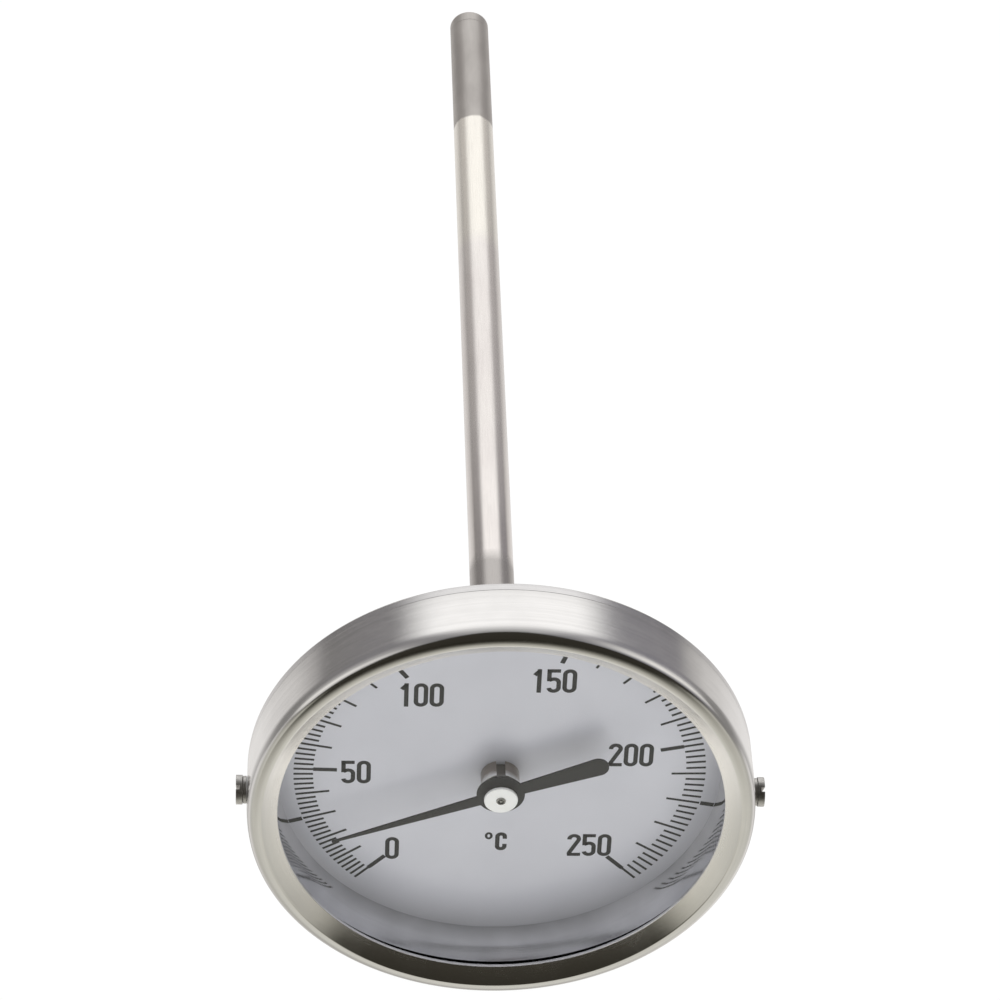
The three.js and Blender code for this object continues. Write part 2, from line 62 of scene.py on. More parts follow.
SHELL_RADIUS = 53.9       # outside of the case rim and the bezel
TUBE_RADIUS = 5.0         # stem tube, outside
PLUG_RADIUS = 4.35        # parts that sit inside the stem tube
SPINDLE_RADIUS = 1.0
SPINDLE_FIT = 1.03        # bore of parts carried by the spindle
GUIDE_BORE = 1.06         # bore of parts the spindle turns in


def place(x, y, z):
    return Vector((x * MM, (y + RIM_Y) * MM, z * MM))


# ------------------------------------------------------------------ geometry

def add_object(name, data):
    ob = bpy.data.objects.new(name, data)
    bpy.context.scene.collection.objects.link(ob)
    return ob


def shade_smooth(mesh, sharp_angle=None):
    mesh.polygons.foreach_set("use_smooth", [True] * len(mesh.polygons))
    if sharp_angle is not None:
        mesh.set_sharp_from_angle(angle=math.radians(sharp_angle))


def fillet(corner, before, after, radius, share, steps):
    """Points and radial directions of a rounded corner, or None if it is nearly straight.
    The arc may use up to the given share of either side."""
    to_before, to_after = before - corner, after - corner
    len_before, len_after = to_before.length, to_after.length
    to_before.normalize()
    to_after.normalize()
    half = math.acos(max(-1.0, min(1.0, to_before.dot(to_after)))) / 2
    if half > math.radians(89.5):
        return None
    reach = min(radius / math.tan(half), len_before * share, len_after * share)
    radius = reach * math.tan(half)
    start, end = corner + to_before * reach, corner + to_after * reach
    centre = corner + (to_before + to_after).normalized() * (radius / math.sin(half))
    angle = math.atan2(start.y - centre.y, start.x - centre.x)
    end_angle = math.atan2(end.y - centre.y, end.x - centre.x)
    sweep = (end_angle - angle + math.pi) % (2 * math.pi) - math.pi
    count = max(2, int(math.ceil(abs(sweep) / math.radians(90) * steps)))
    arc = []
    for j in range(count + 1):
        turn = angle + sweep * j / count
        direction = Vector((math.cos(turn), math.sin(turn)))
        arc.append((centre + direction * radius, direction))
    return arc


def profile_segments(corners, closed, steps):
    """Segments (start, end, normal at start, normal at end) of a profile with fillets.
    Normals point to the right of the walk."""
    n = len(corners)
    walk = []                   # point, radial direction on an arc, continues an arc
    for i, (r, y, *rounding) in enumerate(corners):
        corner = Vector((r, y))
        arc = None
        if rounding and (closed or 0 < i < n - 1):
            before = Vector(corners[(i - 1) % n][:2])
            after = Vector(corners[(i + 1) % n][:2])
            share = rounding[1] if len(rounding) > 1 else 0.49
            arc = fillet(corner, before, after, rounding[0], share, steps)
        if arc:
            walk += [(point, direction, j > 0) for j, (point, direction) in enumerate(arc)]
        else:
            walk.append((corner, None, False))
    segments = []
    for i in range(len(walk) if closed else len(walk) - 1):
        start, start_dir, _ = walk[i]
        end, end_dir, on_arc = walk[(i + 1) % len(walk)]
        step = end - start
        if step.length < 1e-7:
            continue
        side = Vector((step.y, -step.x)).normalized()
        if on_arc:
            sign = 1.0 if side.dot(start_dir + end_dir) > 0 else -1.0
            segments.append((start, end, start_dir * sign, end_dir * sign))
        else:
            segments.append((start, end, side, side))
    return segments


def turned(name, corners, around, steps=6):
    """Solid of revolution about the stem axis with exact normals.

    corners: (radius, y[, fillet radius[, share of the side the fillet may use]]).
    A profile that starts on the axis also ends there and is left open along it.
    around: segments round the axis. steps: fillet segments per quarter turn."""
    closed = corners[0][0] != 0
    segments = profile_segments(corners, closed, steps)
    area = sum(a.x * b.y - b.x * a.y for a, b, _, _ in segments)
    if not closed:
        last, first = segments[-1][1], segments[0][0]
        area += last.x * first.y - first.x * last.y
    outward = 1.0 if area > 0 else -1.0
    verts, faces, normals = [], [], []
    rings = {}

    def ring(point):
        key = (round(point.x, 6), round(point.y, 6))
        if key not in rings:
            first = len(verts)
            if point.x < 1e-6:
                verts.append(place(0, point.y, 0))
            else:
                for k in range(around):
                    turn = 2 * math.pi * k / around
                    x, z = point.x * math.sin(turn), point.x * math.cos(turn)
                    verts.append(place(x, point.y, z))
            rings[key] = list(range(first, len(verts)))
        return rings[key]

    def normal_at(normal, k):
        turn = 2 * math.pi * k / around
        across = normal.x * outward
        return Vector((across * math.sin(turn), normal.y * outward, across * math.cos(turn)))

    for start, end, start_normal, end_normal in segments:
        ring0, ring1 = ring(start), ring(end)
        for k in range(around):
            k2 = (k + 1) % around
            # face corners: vertex, profile normal, place round the axis
            if len(ring0) == 1:
                loop = [(ring0[0], start_normal, k + 0.5),
                        (ring1[k2], end_normal, k + 1), (ring1[k], end_normal, k)]
            elif len(ring1) == 1:
                loop = [(ring0[k], start_normal, k), (ring0[k2], start_normal, k + 1),
                        (ring1[0], end_normal, k + 0.5)]
            else:
                loop = [(ring0[k], start_normal, k), (ring0[k2], start_normal, k + 1),
                        (ring1[k2], end_normal, k + 1), (ring1[k], end_normal, k)]
            a, b, c = (verts[corner[0]] for corner in loop[:3])
            if (b - a).cross(c - b).dot(normal_at(loop[0][1] + loop[2][1], k + 0.5)) < 0:
                loop.reverse()
            faces.append([corner[0] for corner in loop])
            normals.extend(normal_at(corner[1], corner[2]) for corner in loop)
    mesh = bpy.data.meshes.new(name)
    mesh.from_pydata(verts, [], faces)
    mesh.update()
    shade_smooth(mesh)
    mesh.normals_split_custom_set([normal.normalized() for normal in normals])
    return add_object(name, mesh)


def from_bmesh(name, bm, sharp_angle=None):
    """Object from a bmesh, flat shaded unless an angle for sharp edges is given."""
    bmesh.ops.recalc_face_normals(bm, faces=bm.faces[:])
    mesh = bpy.data.meshes.new(name)
    bm.to_mesh(mesh)
    bm.free()
    if sharp_angle is not None:
        shade_smooth(mesh, sharp_angle)
    return add_object(name, mesh)


def cut_box(ob, size, centre, sharp_angle, tilt=0.0):
    """Take a box out of a body. tilt: degrees about x."""
    bm = bmesh.new()
    bmesh.ops.create_cube(bm, size=1.0)
    bmesh.ops.scale(bm, vec=[length * MM for length in size], verts=bm.verts[:])
    rotation = Matrix.Rotation(math.radians(tilt), 3, "X")
    bmesh.ops.rotate(bm, cent=(0, 0, 0), matrix=rotation, verts=bm.verts[:])
    bmesh.ops.translate(bm, vec=place(*centre), verts=bm.verts[:])
    cutter_mesh = bpy.data.meshes.new("cut")
    bm.to_mesh(cutter_mesh)
    bm.free()
    cutter = add_object("cut", cutter_mesh)
    boolean = ob.modifiers.new("cut", "BOOLEAN")
    boolean.object = cutter
    boolean.operation = "DIFFERENCE"
    boolean.solver = "EXACT"
    bpy.context.view_layer.update()
    evaluated = ob.evaluated_get(bpy.context.evaluated_depsgraph_get())
    mesh = bpy.data.meshes.new_from_object(evaluated)
    ob.modifiers.clear()
    ob.data = mesh
    bpy.data.objects.remove(cutter)
    # normals of the turned body no longer fit the cut faces
    if "custom_normal" in mesh.attributes:
        mesh.attributes.remove(mesh.attributes["custom_normal"])
    shade_smooth(mesh, sharp_angle)


def soften_edges(ob, width, segments):
    bevel = ob.modifiers.new("edge", "BEVEL")
    bevel.width = width * MM
    bevel.segments = segments
    bevel.limit_method = "ANGLE"
    bevel.angle_limit = math.radians(50)
    weighted = ob.modifiers.new("weighted", "WEIGHTED_NORMAL")
    weighted.keep_sharp = True
    weighted.weight = 60


def dress(ob, body, material, node=None):
    """Give a part its material, moving body and slot, and the CAD node it stands for."""
    ob.data.materials.clear()
    ob.data.materials.append(MATERIALS[material])
    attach(ob, body)
    if node:
        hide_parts(node)


# ---------------------------------------------------------------- node trees

def rgba(colour):
    if isinstance(colour, (int, float)):
        return (colour, colour, colour, 1.0)
    return tuple(colour) + ((1.0,) if len(colour) == 3 else ())


def scaled(colour, factor):
    return tuple(channel * factor for channel in colour)


class Wire:
    """A node output. Arithmetic on it adds math nodes."""

    def __init__(self, graph, socket):
        self.graph = graph
        self.socket = socket

    def math(self, operation, *others):
        return self.graph.math(operation, self, *others)

    def __add__(self, other):
        return self.math("ADD", other)

    def __radd__(self, other):
        return self.graph.math("ADD", other, self)

    def __sub__(self, other):
        return self.math("SUBTRACT", other)

    def __rsub__(self, other):
        return self.graph.math("SUBTRACT", other, self)

    def __mul__(self, other):
        return self.math("MULTIPLY", other)

    def __truediv__(self, other):
        return self.math("DIVIDE", other)

    def __abs__(self):
        return self.math("ABSOLUTE")

    def fade(self, over, to=(0.0, 1.0), kind="LINEAR"):
        """Carry the range `over` to the range `to`, held at both ends."""
        settings = {"interpolation_type": kind}
        return self.graph.add("MapRange", self, *over, *to, settings=settings)

    def ease(self, over, to=(0.0, 1.0)):
        """As fade, with soft ends."""
        return self.fade(over, to, "SMOOTHSTEP")

    def ramp(self, span, stops):
        """Colour ramp with stops (value, colour) given within span."""
        low, high = span
        node = self.graph.node("ValToRGB")
        elements = node.color_ramp.elements
        while len(elements) > 1:
            elements.remove(elements[-1])
        for i, (value, colour) in enumerate(stops):
            position = (value - low) / (high - low)
            element = elements.new(position) if i else elements[0]
            element.position = position
            element.color = rgba(colour)
        self.graph.put(node.inputs[0], self.fade(over=span))
        return Wire(self.graph, node.outputs[0])


class Graph:
    """Builds the shader nodes of a material or world."""

    def __init__(self, owner, output_kind):
        owner.use_nodes = True
        self.owner = owner
        self.tree = owner.node_tree
        self.tree.nodes.clear()
        self.output = self.node(output_kind)

    def node(self, kind, **settings):
        node = self.tree.nodes.new("ShaderNode" + kind)
        for key, value in settings.items():
            setattr(node, key, value)
        return node

    def put(self, socket, value):
        if isinstance(value, Wire):
            self.tree.links.new(value.socket, socket)
        else:
            socket.default_value = rgba(value) if socket.type == "RGBA" else value

    def add(self, kind, *values, output=0, settings={}, **named):
        """Node with inputs by place or by name (underscore for space); gives one output."""
        node = self.node(kind, **settings)
        for i, value in enumerate(values):
            self.put(node.inputs[i], value)
        for name, value in named.items():
            self.put(node.inputs[name.replace("_", " ")], value)
        return Wire(self, node.outputs[output])

    def math(self, operation, *values, clamp=False):
        settings = {"operation": operation, "use_clamp": clamp}
        return self.add("Math", *values, settings=settings)

    def vector(self, x, y, z):
        return self.add("CombineXYZ", x, y, z)

    def split(self, vector):
        node = self.node("SeparateXYZ")
        self.put(node.inputs[0], vector)
        return [Wire(self, socket) for socket in node.outputs]

    def millimetres(self):
        """Object coordinates in mm, y from the rear rim."""
        x, y, z = self.split(self.add("TexCoord", output="Object"))
        return x * 1000.0, y.math("MULTIPLY_ADD", 1000.0, -RIM_Y), z * 1000.0

    def noise(self, where, scale, detail=2.0, rough=0.5, distortion=0.0):
        if isinstance(where, tuple):
            where = self.vector(*where)
        return self.add("TexNoise", Vector=where, Scale=scale, Detail=detail,
                        Roughness=rough, Distortion=distortion)

    def mix(self, factor, first, second, blend="MIX"):
        node = self.node("Mix", data_type="RGBA", blend_type=blend)
        for i, value in ((0, factor), (6, first), (7, second)):
            self.put(node.inputs[i], value)
        return Wire(self, node.outputs[2])

    def bump(self, height, strength, distance):
        return self.add("Bump", Strength=strength, Distance=distance, Height=height)

    def surface(self, shader):
        self.put(self.output.inputs["Surface"], shader)
        return self.owner

    def principled(self, **inputs):
        return self.surface(self.add("BsdfPrincipled", **inputs))


def new_material(name):
    return Graph(bpy.data.materials.new(name), "OutputMaterial")


def radius_angle(x, z):
    """Radius from the stem axis, and angle clockwise from 12 o'clock in radians."""
    return (x * x + z * z).math("SQRT"), x.math("ARCTAN2", z)


# ----------------------------------------------------------------- materials
# Noise scales are per mm, bump distances in metres, rough is (smoothest, roughest).

def turned_steel(name, light, dark, rough, ring_scale=1.0, aniso=0.35, shell=False):
    """Steel turned about the stem axis: fine rings, faint smudges.
    shell adds the darker rear, a painted highlight on the inner lip and a painted dark reflection
    on the lower nose of case and bezel."""
    g = new_material(name)
    x, y, z = g.millimetres()
    radius, angle = radius_angle(x, z)
    # follows radius and length, changes only slowly round the axis
    turning = g.vector(radius * ring_scale, y * ring_scale, angle * 0.55)
    fine = g.noise(turning, scale=9.0, detail=3.0, rough=0.62)
    coarse = g.noise(turning, scale=1.3)
    smear = g.noise((x, y, z), scale=0.085, detail=3.0, rough=0.55, distortion=0.4)
    patch = g.noise((x, y, z), scale=0.6, detail=4.0, rough=0.6)
    colour = g.mix(coarse.fade(over=(0.35, 0.65)), dark, light)
    colour = g.mix(smear.fade(over=(0.42, 0.7), to=(0.0, 0.35)), colour, scaled(light, 0.9))
    roughness = fine.fade(over=(0.3, 0.7), to=rough) + smear.fade(over=(0.4, 0.7), to=(0.0, 0.06))
    roughness = roughness + patch.fade(over=(0.55, 0.75), to=(0.0, 0.03))
    if shell:
        depth = patch.math("MULTIPLY_ADD", 1.2, y)
        rear = depth.fade(over=(-5.0, 0.5), to=(0.0, 0.32))
        colour = g.mix(rear, colour, scaled(dark, 0.55))
        # painted highlight: near-white colour on the inner lip
        lip = radius.fade(over=(51.6, 47.6)) * y.fade(over=(-13.2, -13.6))
        colour = g.mix(lip, colour, (1.0, 0.98, 0.955))
        # 1 at the bottom of the nose, a little towards -x
        low = (x * -0.26 + z * -0.966) / radius.math("MAXIMUM", 1.0)
        nose = y.fade(over=(-10.5, -13.5)) * radius.fade(over=(51.8, 52.5))
        # painted dark reflection on the bottom of the nose
        painted_nose_reflection = low.fade(over=(0.2, 0.95), to=(0.0, 0.72)) * nose
        colour = g.mix(painted_nose_reflection, colour, (0.30, 0.295, 0.29))
        roughness = lip.math("MULTIPLY_ADD", 0.1, roughness)
    tangent = g.add("Tangent", settings={"direction_type": "RADIAL", "axis": "Y"})
    return g.principled(Base_Color=colour, Metallic=1.0, Roughness=roughness, Anisotropic=aniso,
                        Tangent=tangent, Normal=g.bump(fine, strength=0.05, distance=0.0001))


def drawn_steel(name):
    """Stem tube: lengthwise lines, a duller zone at the tip, a warmer tint
    behind it and painted shade on the foot by the case."""
    g = new_material(name)
    x, y, z = g.millimetres()
    angle = x.math("ARCTAN2", z)
    lines = g.noise((x * 3.2, y * 0.045, z * 3.2), scale=2.6, detail=4.0, rough=0.6)
    fine = g.noise((x * 1.0, y * 0.6, z * 1.0), scale=5.5, detail=3.0, rough=0.6)
    rings = g.noise((angle * 0.3, y * 1.0, 0.0), scale=4.5, detail=3.0, rough=0.6)
    blot = g.noise((x, y * 0.35, z), scale=0.16, detail=3.0, rough=0.55)
    # zone ends waver by a fraction of a millimetre
    wobble = (g.noise((x, y, z), scale=0.5) - 0.5) * 1.2
    tip = (y + wobble).fade(over=(231.6, 232.4))
    warm = y.fade(over=(178.0, 184.0))
    foot = (y + wobble).fade(over=(65.6, 61.6))

    colour = g.mix(blot.fade(over=(0.3, 0.7)), (0.74, 0.70, 0.68), (0.80, 0.765, 0.74))
    colour = g.mix(warm, colour, (0.86, 0.83, 0.77))
    tip_colour = g.mix(blot.fade(over=(0.35, 0.65)), (0.47, 0.445, 0.425), (0.56, 0.535, 0.51))
    colour = g.mix(tip, colour, tip_colour)
    # painted shade on the foot of the stem, next to the case
    colour = g.mix(foot * 0.85, colour, (0.45, 0.43, 0.415))
    colour = g.mix(lines.fade(over=(0.52, 0.72)) * 0.18, colour, (0.5, 0.48, 0.46))

    roughness = lines.fade(over=(0.3, 0.7), to=(0.21, 0.30)) + tip * 0.14
    fine_rough = fine.fade(over=(0.4, 0.7), to=(0.0, 0.05))
    roughness = roughness + foot.math("MULTIPLY_ADD", 0.12, fine_rough)
    roughness = roughness + y.fade(over=(118.0, 72.0), to=(0.0, -0.09))
    # lines on the tube, rings on the tip
    height = lines * (1.0 - tip) + rings * (tip * 1.2)
    return g.principled(Base_Color=colour, Metallic=1.0, Roughness=roughness,
                        Normal=g.bump(height, strength=0.08, distance=0.0001))


def plain_metal(name, light, dark, rough, scale=1.4, bump=0.06, metallic=1.0, glow=0.0):
    """Small machined metal part: fine grain and light tarnish; glow adds painted light as a faint
    emission.
    """
    g = new_material(name)
    x, y, z = g.millimetres()
    radius, angle = radius_angle(x, z)
    point = g.vector(x, y, z)
    grain = g.noise(point, scale=6.0 * scale, detail=4.0, rough=0.65)
    tarnish = g.noise(point, scale=0.5 * scale, detail=3.0, rough=0.55, distortion=0.3)
    rings = g.noise((radius, y, angle * 0.3), scale=7.0)
    colour = g.mix(tarnish.fade(over=(0.35, 0.65)), dark, light)
    roughness = rings.fade(over=(0.3, 0.7), to=rough) + grain.fade(over=(0.45, 0.7), to=(0.0, 0.06))
    return g.principled(Base_Color=colour, Metallic=metallic, Roughness=roughness,
                        Normal=g.bump(grain + rings, strength=bump, distance=0.00008),
                        Emission_Color=colour, Emission_Strength=glow)


def bush_metal(name):
    """Plated bush: bright towards the front, brown towards the dial."""
    g = new_material(name)
    x, y, z = g.millimetres()
    radius, angle = radius_angle(x, z)
    tarnish = g.noise((x, y, z), scale=0.9, detail=3.0, rough=0.55, distortion=0.3)
    rings = g.noise((radius, y, angle * 0.3), scale=6.0)
    depth = (tarnish - 0.5).math("MULTIPLY_ADD", 1.6, y)
    colour = g.mix(tarnish.fade(over=(0.35, 0.65)), (0.84, 0.83, 0.80), (0.93, 0.92, 0.90))
    colour = g.mix(depth.fade(over=(-5.6, -4.3)), colour, (0.34, 0.295, 0.26))
    # painted shade: dark oblong around x = 0, z = 2
    painted_shade_oblong = abs(x).math("MAXIMUM", abs(z - 2.0) * 0.75)
    colour = g.mix(painted_shade_oblong.fade(over=(0.93, 0.97), to=(0.8, 0.0)), colour, (0.10, 0.09, 0.08))
    return g.principled(Base_Color=colour, Metallic=1.0,
                        Roughness=rings.fade(over=(0.3, 0.7), to=(0.14, 0.24)),
                        Normal=g.bump(rings, strength=0.05, distance=0.00008))


def wall_mirror(name):
    """Polished inside of the distance ring."""
    g = new_material(name)
    x, y, z = g.millimetres()
    radius, angle = radius_angle(x, z)
    rings = g.noise((radius * 0.4, y, angle * 0.6), scale=5.0, detail=3.0, rough=0.55)
    waves = g.noise((x, y, z), scale=0.12)
    colour = g.mix(waves.fade(over=(0.35, 0.65)), (0.60, 0.60, 0.61), (0.70, 0.70, 0.71))
    return g.principled(Base_Color=colour, Metallic=1.0,
                        Roughness=rings.fade(over=(0.3, 0.7), to=(0.07, 0.13)),
                        Normal=g.bump(rings, strength=0.03, distance=0.0001))


def dial_paint(name):
    """Matt printed ground: very fine tooth, faint cloudiness."""
    g = new_material(name)
    point = g.vector(*g.millimetres())
    tooth = g.noise(point, scale=9.0, detail=3.0, rough=0.6)
    cloud = g.noise(point, scale=0.045)
    colour = g.mix(cloud.fade(over=(0.35, 0.65)), (0.755, 0.755, 0.822), (0.795, 0.795, 0.862))
    colour = g.mix(tooth.fade(over=(0.3, 0.7), to=(0.0, 0.06)), colour, (0.6, 0.61, 0.63))
    return g.principled(Base_Color=colour, Roughness=tooth.fade(over=(0.3, 0.7), to=(0.3, 0.38)),
                        Normal=g.bump(tooth, strength=0.03, distance=0.00005),
                        Specular_IOR_Level=0.35, Metallic=0.2)


def print_ink(name, base):
    """Printed ink, denser in places."""
    g = new_material(name)
    mottle = g.noise(g.millimetres(), scale=3.5, detail=3.0, rough=0.6)
    thin = tuple(channel * 1.5 + 0.004 for channel in base)
    return g.principled(Base_Color=g.mix(mottle.fade(over=(0.35, 0.7)), base, thin),
                        Roughness=mottle.fade(over=(0.3, 0.7), to=(0.45, 0.6)),
                        Normal=g.bump(mottle, strength=0.05, distance=0.00003))


def enamel(name):
    """Satin black enamel with fine orange peel and dust."""
    g = new_material(name)
    point = g.vector(*g.millimetres())
    peel = g.noise(point, scale=2.2, detail=3.0, rough=0.55)
    dust = g.noise(point, scale=14.0)
    dusty = dust.fade(over=(0.62, 0.8), to=(0.0, 0.35))
    return g.principled(Base_Color=g.mix(dusty, (0.020, 0.019, 0.020), (0.06, 0.06, 0.06)),
                        Roughness=peel.fade(over=(0.3, 0.7), to=(0.4, 0.55)),
                        Normal=g.bump(peel, strength=0.08, distance=0.0001))


def rubber(name):
    g = new_material(name)
    grain = g.noise(g.millimetres(), scale=5.0, detail=4.0, rough=0.65)
    colour = g.mix(grain.fade(over=(0.35, 0.7)), (0.012, 0.012, 0.012), (0.035, 0.034, 0.033))
    return g.principled(Base_Color=colour, Roughness=grain.fade(over=(0.3, 0.7), to=(0.6, 0.85)),
                        Normal=g.bump(grain, strength=0.2, distance=0.0001))


def window_glass(name):
    """Clear pane: light passes straight through, reflection grows at grazing angles."""
    g = new_material(name)
    point = g.vector(*g.millimetres())
    smear = g.noise(point, scale=0.07, detail=3.0, rough=0.55, distortion=0.6)
    speck = g.noise(point, scale=3.0)
    tint = g.mix(smear.fade(over=(0.4, 0.7)), (0.988, 0.991, 0.99), (0.976, 0.98, 0.979))
    clear = g.add("BsdfTransparent", Color=tint)
    gloss = g.add("BsdfGlossy", Color=1.0,
                  Roughness=smear.fade(over=(0.4, 0.75), to=(0.0, 0.03)))
    # the far side is reached from inside, so the sign of the angle is dropped
    geometry = g.node("NewGeometry")
    normal, incoming = (Wire(g, geometry.outputs[key]) for key in ("Normal", "Incoming"))
    facing = abs(g.add("VectorMath", normal, incoming, output="Value",
                       settings={"operation": "DOT_PRODUCT"}))
    # Schlick's curve: 0.026 head on, fifth power towards the edge
    grazing = g.math("SUBTRACT", 1.0, facing, clamp=True).math("POWER", 5.0)
    reflection = 0.026 + grazing * 0.965
    reflection = reflection + speck.fade(over=(0.72, 0.8), to=(0.0, 0.01))
    return g.surface(g.add("MixShader", reflection, clear, gloss))


MATERIALS = {
    "case": turned_steel("case_steel", light=(0.76, 0.75, 0.75), dark=(0.70, 0.69, 0.69),
                         rough=(0.13, 0.2), ring_scale=0.8, aniso=0.15, shell=True),
    "bezel": turned_steel("bezel_steel", light=(0.79, 0.78, 0.77), dark=(0.74, 0.73, 0.72),
                          rough=(0.11, 0.17), aniso=0.15, shell=True),
    "boss": turned_steel("boss_steel", light=(0.72, 0.70, 0.68), dark=(0.63, 0.615, 0.595),
                         rough=(0.22, 0.34)),
    "stem": drawn_steel("stem_steel"),
    "screw": plain_metal("screw_steel", light=(0.64, 0.63, 0.61), dark=(0.47, 0.46, 0.445),
                         rough=(0.36, 0.5)),
    "plate": plain_metal("inner_steel", light=(0.60, 0.59, 0.57), dark=(0.5, 0.49, 0.47),
                         rough=(0.3, 0.42)),
    "spindle": plain_metal("spindle_steel", light=(0.52, 0.51, 0.50), dark=(0.40, 0.39, 0.38),
                           rough=(0.2, 0.32)),
    "bush": bush_metal("bush_metal"),
    "brass": plain_metal("turned_brass", light=(0.74, 0.58, 0.31), dark=(0.6, 0.45, 0.23),
                         rough=(0.25, 0.38)),
    "bimetal": plain_metal("bimetal_strip", light=(0.66, 0.56, 0.42), dark=(0.5, 0.43, 0.34),
                           rough=(0.28, 0.4)),
    # the cap glows faintly: painted light that makes it whiter
    "cap": plain_metal("cap_silver", light=(0.97, 0.965, 0.95), dark=(0.93, 0.925, 0.91),
                       rough=(0.3, 0.42), scale=1.0, bump=0.05, metallic=0.2, glow=0.15),
    "wall": wall_mirror("polished_wall"),
    "dial": dial_paint("dial_paint"),
    "ink": print_ink("dial_ink", base=(0.009, 0.009, 0.010)),
    "enamel": enamel("pointer_enamel"),
    "rubber": rubber("gasket_rubber"),
    "glass": window_glass("window_glass"),
}

# ------------------------------------------------------------ case and bezel
# Corner tables: radius, y, fillet radius, share of the side the fillet may use.

dress(turned("case_cup_shell", [
    (52.6, -12.0, 0.15), (52.6, -2.2, 0.1), (SHELL_RADIUS, -2.2, 0.05), (SHELL_RADIUS, 0.0, 0.6),
    (42.0, 0.0, 1.2), (39.0, 4.0, 1.4), (8.05, 4.0, 0.15), (8.05, 3.1, 0.1),
    (38.2, 3.1, 1.0), (41.2, -0.9, 1.0), (51.7, -0.9, 0.7), (51.7, -12.0, 0.15),
], around=192), "housing", "case", "case_cup")

dress(turned("bezel_ring_shell", [
    (52.75, -2.235, 0.03), (SHELL_RADIUS, -2.235, 0.05), (SHELL_RADIUS, -13.547, 10.69, 0.9),
    (53.467, -15.586, 1.6, 0.9), (51.834, -16.054, 6.0, 0.9), (50.844, -16.088, 0.8, 0.6),
    (47.36, -13.800, 0.22), (47.36, -12.95, 0.3), (47.83, -12.78, 0.1),
    (52.2, -14.72, 0.3), (52.75, -14.3, 0.3),
], around=256, steps=24), "housing", "bezel", "bezel_ring")

# ------------------------------------------------------------- window stack

dress(turned("front_window_gasket_ring", [
    (48.0, -12.79, 0.1), (51.3, -14.33, 0.1), (51.3, -12.44, 0.1), (48.0, -12.44, 0.1),
], around=160, steps=3), "housing", "rubber", "front_window_gasket")

dress(turned("rear_window_gasket_ring", [
    (50.25, -10.35, 0.15), (51.3, -10.35, 0.15), (51.3, -9.55, 0.15), (50.25, -9.55, 0.15),
], around=160, steps=3), "housing", "rubber", "rear_window_gasket")

dress(turned("window_pane", [
    (0, -12.4), (51.4, -12.4, 0.3), (51.4, -10.4, 0.3), (0, -10.4),
], around=160, steps=3), "housing", "glass", "window_glass")

dress(turned("distance_ring_wall", [
    (47.4, -1.7, 0.06), (48.15, -6.0, 20.0, 0.9), (49.38, -10.37, 0.05), (50.15, -10.37, 0.1),
    (50.15, -9.5, 0.1), (51.4, -9.5, 0.1), (51.4, -8.7, 0.1), (50.4, -8.7, 0.2),
    (49.2, -5.5, 0.5), (49.2, -1.7, 0.1),
], around=256, steps=40), "housing", "wall", "distance_ring")

# ------------------------------------------------------- dial plate and bush

dress(turned("dial_plate_disc", [
    (2.6, DIAL_FRONT, 0.05), (49.2, DIAL_FRONT, 0.08),
    (49.2, DIAL_BACK, 0.08), (2.6, DIAL_BACK, 0.05),
], around=192, steps=3), "housing", "dial", "dial_plate")

# bush with a notch in its collar at 12 o'clock
bush = turned("dial_bush_turned", [
    (GUIDE_BORE, -6.2, 0.1), (4.15, -6.2, 0.35), (4.15, -1.69, 0.1), (2.52, -1.69),
    (2.52, 0.3, 0.2), (GUIDE_BORE, 0.3),
], around=96)
cut_box(bush, size=(1.9, 6.0, 2.0), centre=(0, -4.5, 4.1), sharp_angle=25)
dress(bush, "housing", "bush", "dial_bush")

dress(turned("dial_bush_spring_ring", [
    (2.62, -1.02, 0.08), (5.6, -1.02, 0.12), (5.6, -0.42, 0.12), (2.62, -0.42, 0.08),
], around=72, steps=3), "housing", "plate", "dial_bush_ring")

# --------------------------------------------------------------- scale marks

SCALE_RADIUS = 44.1
TICK_END = SCALE_RADIUS * 0.905       # inner end of the short ticks
TEN_END = SCALE_RADIUS * 0.834        # inner end of the ticks at tens
FIFTY_END = SCALE_RADIUS * 0.79       # inner end of the ticks at figures
TICK_WIDTH = 0.54
LONG_TICK_WIDTH = 0.56
FIFTY_WIDTH = 1.0                     # thick inner part of the ticks at figures
RANGE_MARK = (47.35, 44.35, 1.1)      # outer and inner radius, width
INK_FRONT = DIAL_FRONT - 0.035
INK_BACK = DIAL_FRONT + 0.005         # sunk slightly into the plate


def scale_angle(temperature):
    """Degrees clockwise from 12 o'clock; the scale is slightly uneven."""
    offset = (temperature - 125.0) / 125.0
    return 135.95 * offset + 8.23 * (offset * offset - 1) - 3.31 * (offset ** 3 - offset)


def radial_bar(bm, degrees, outer, inner, width):
    turn = math.radians(degrees)
    out_x, out_z = math.sin(turn), math.cos(turn)
    side_x, side_z = math.cos(turn), -math.sin(turn)
    outline = [(out_x * radius + side_x * offset, out_z * radius + side_z * offset)
               for radius, offset in ((outer, -width / 2), (inner, -width / 2),
                                      (inner, width / 2), (outer, width / 2))]
    front = [bm.verts.new(place(x, INK_FRONT, z)) for x, z in outline]
    back = [bm.verts.new(place(x, INK_BACK, z)) for x, z in outline]
    bm.faces.new(front)
    bm.faces.new(back[::-1])
    for i in range(4):
        j = (i + 1) % 4
        bm.faces.new((front[j], front[i], back[i], back[j]))


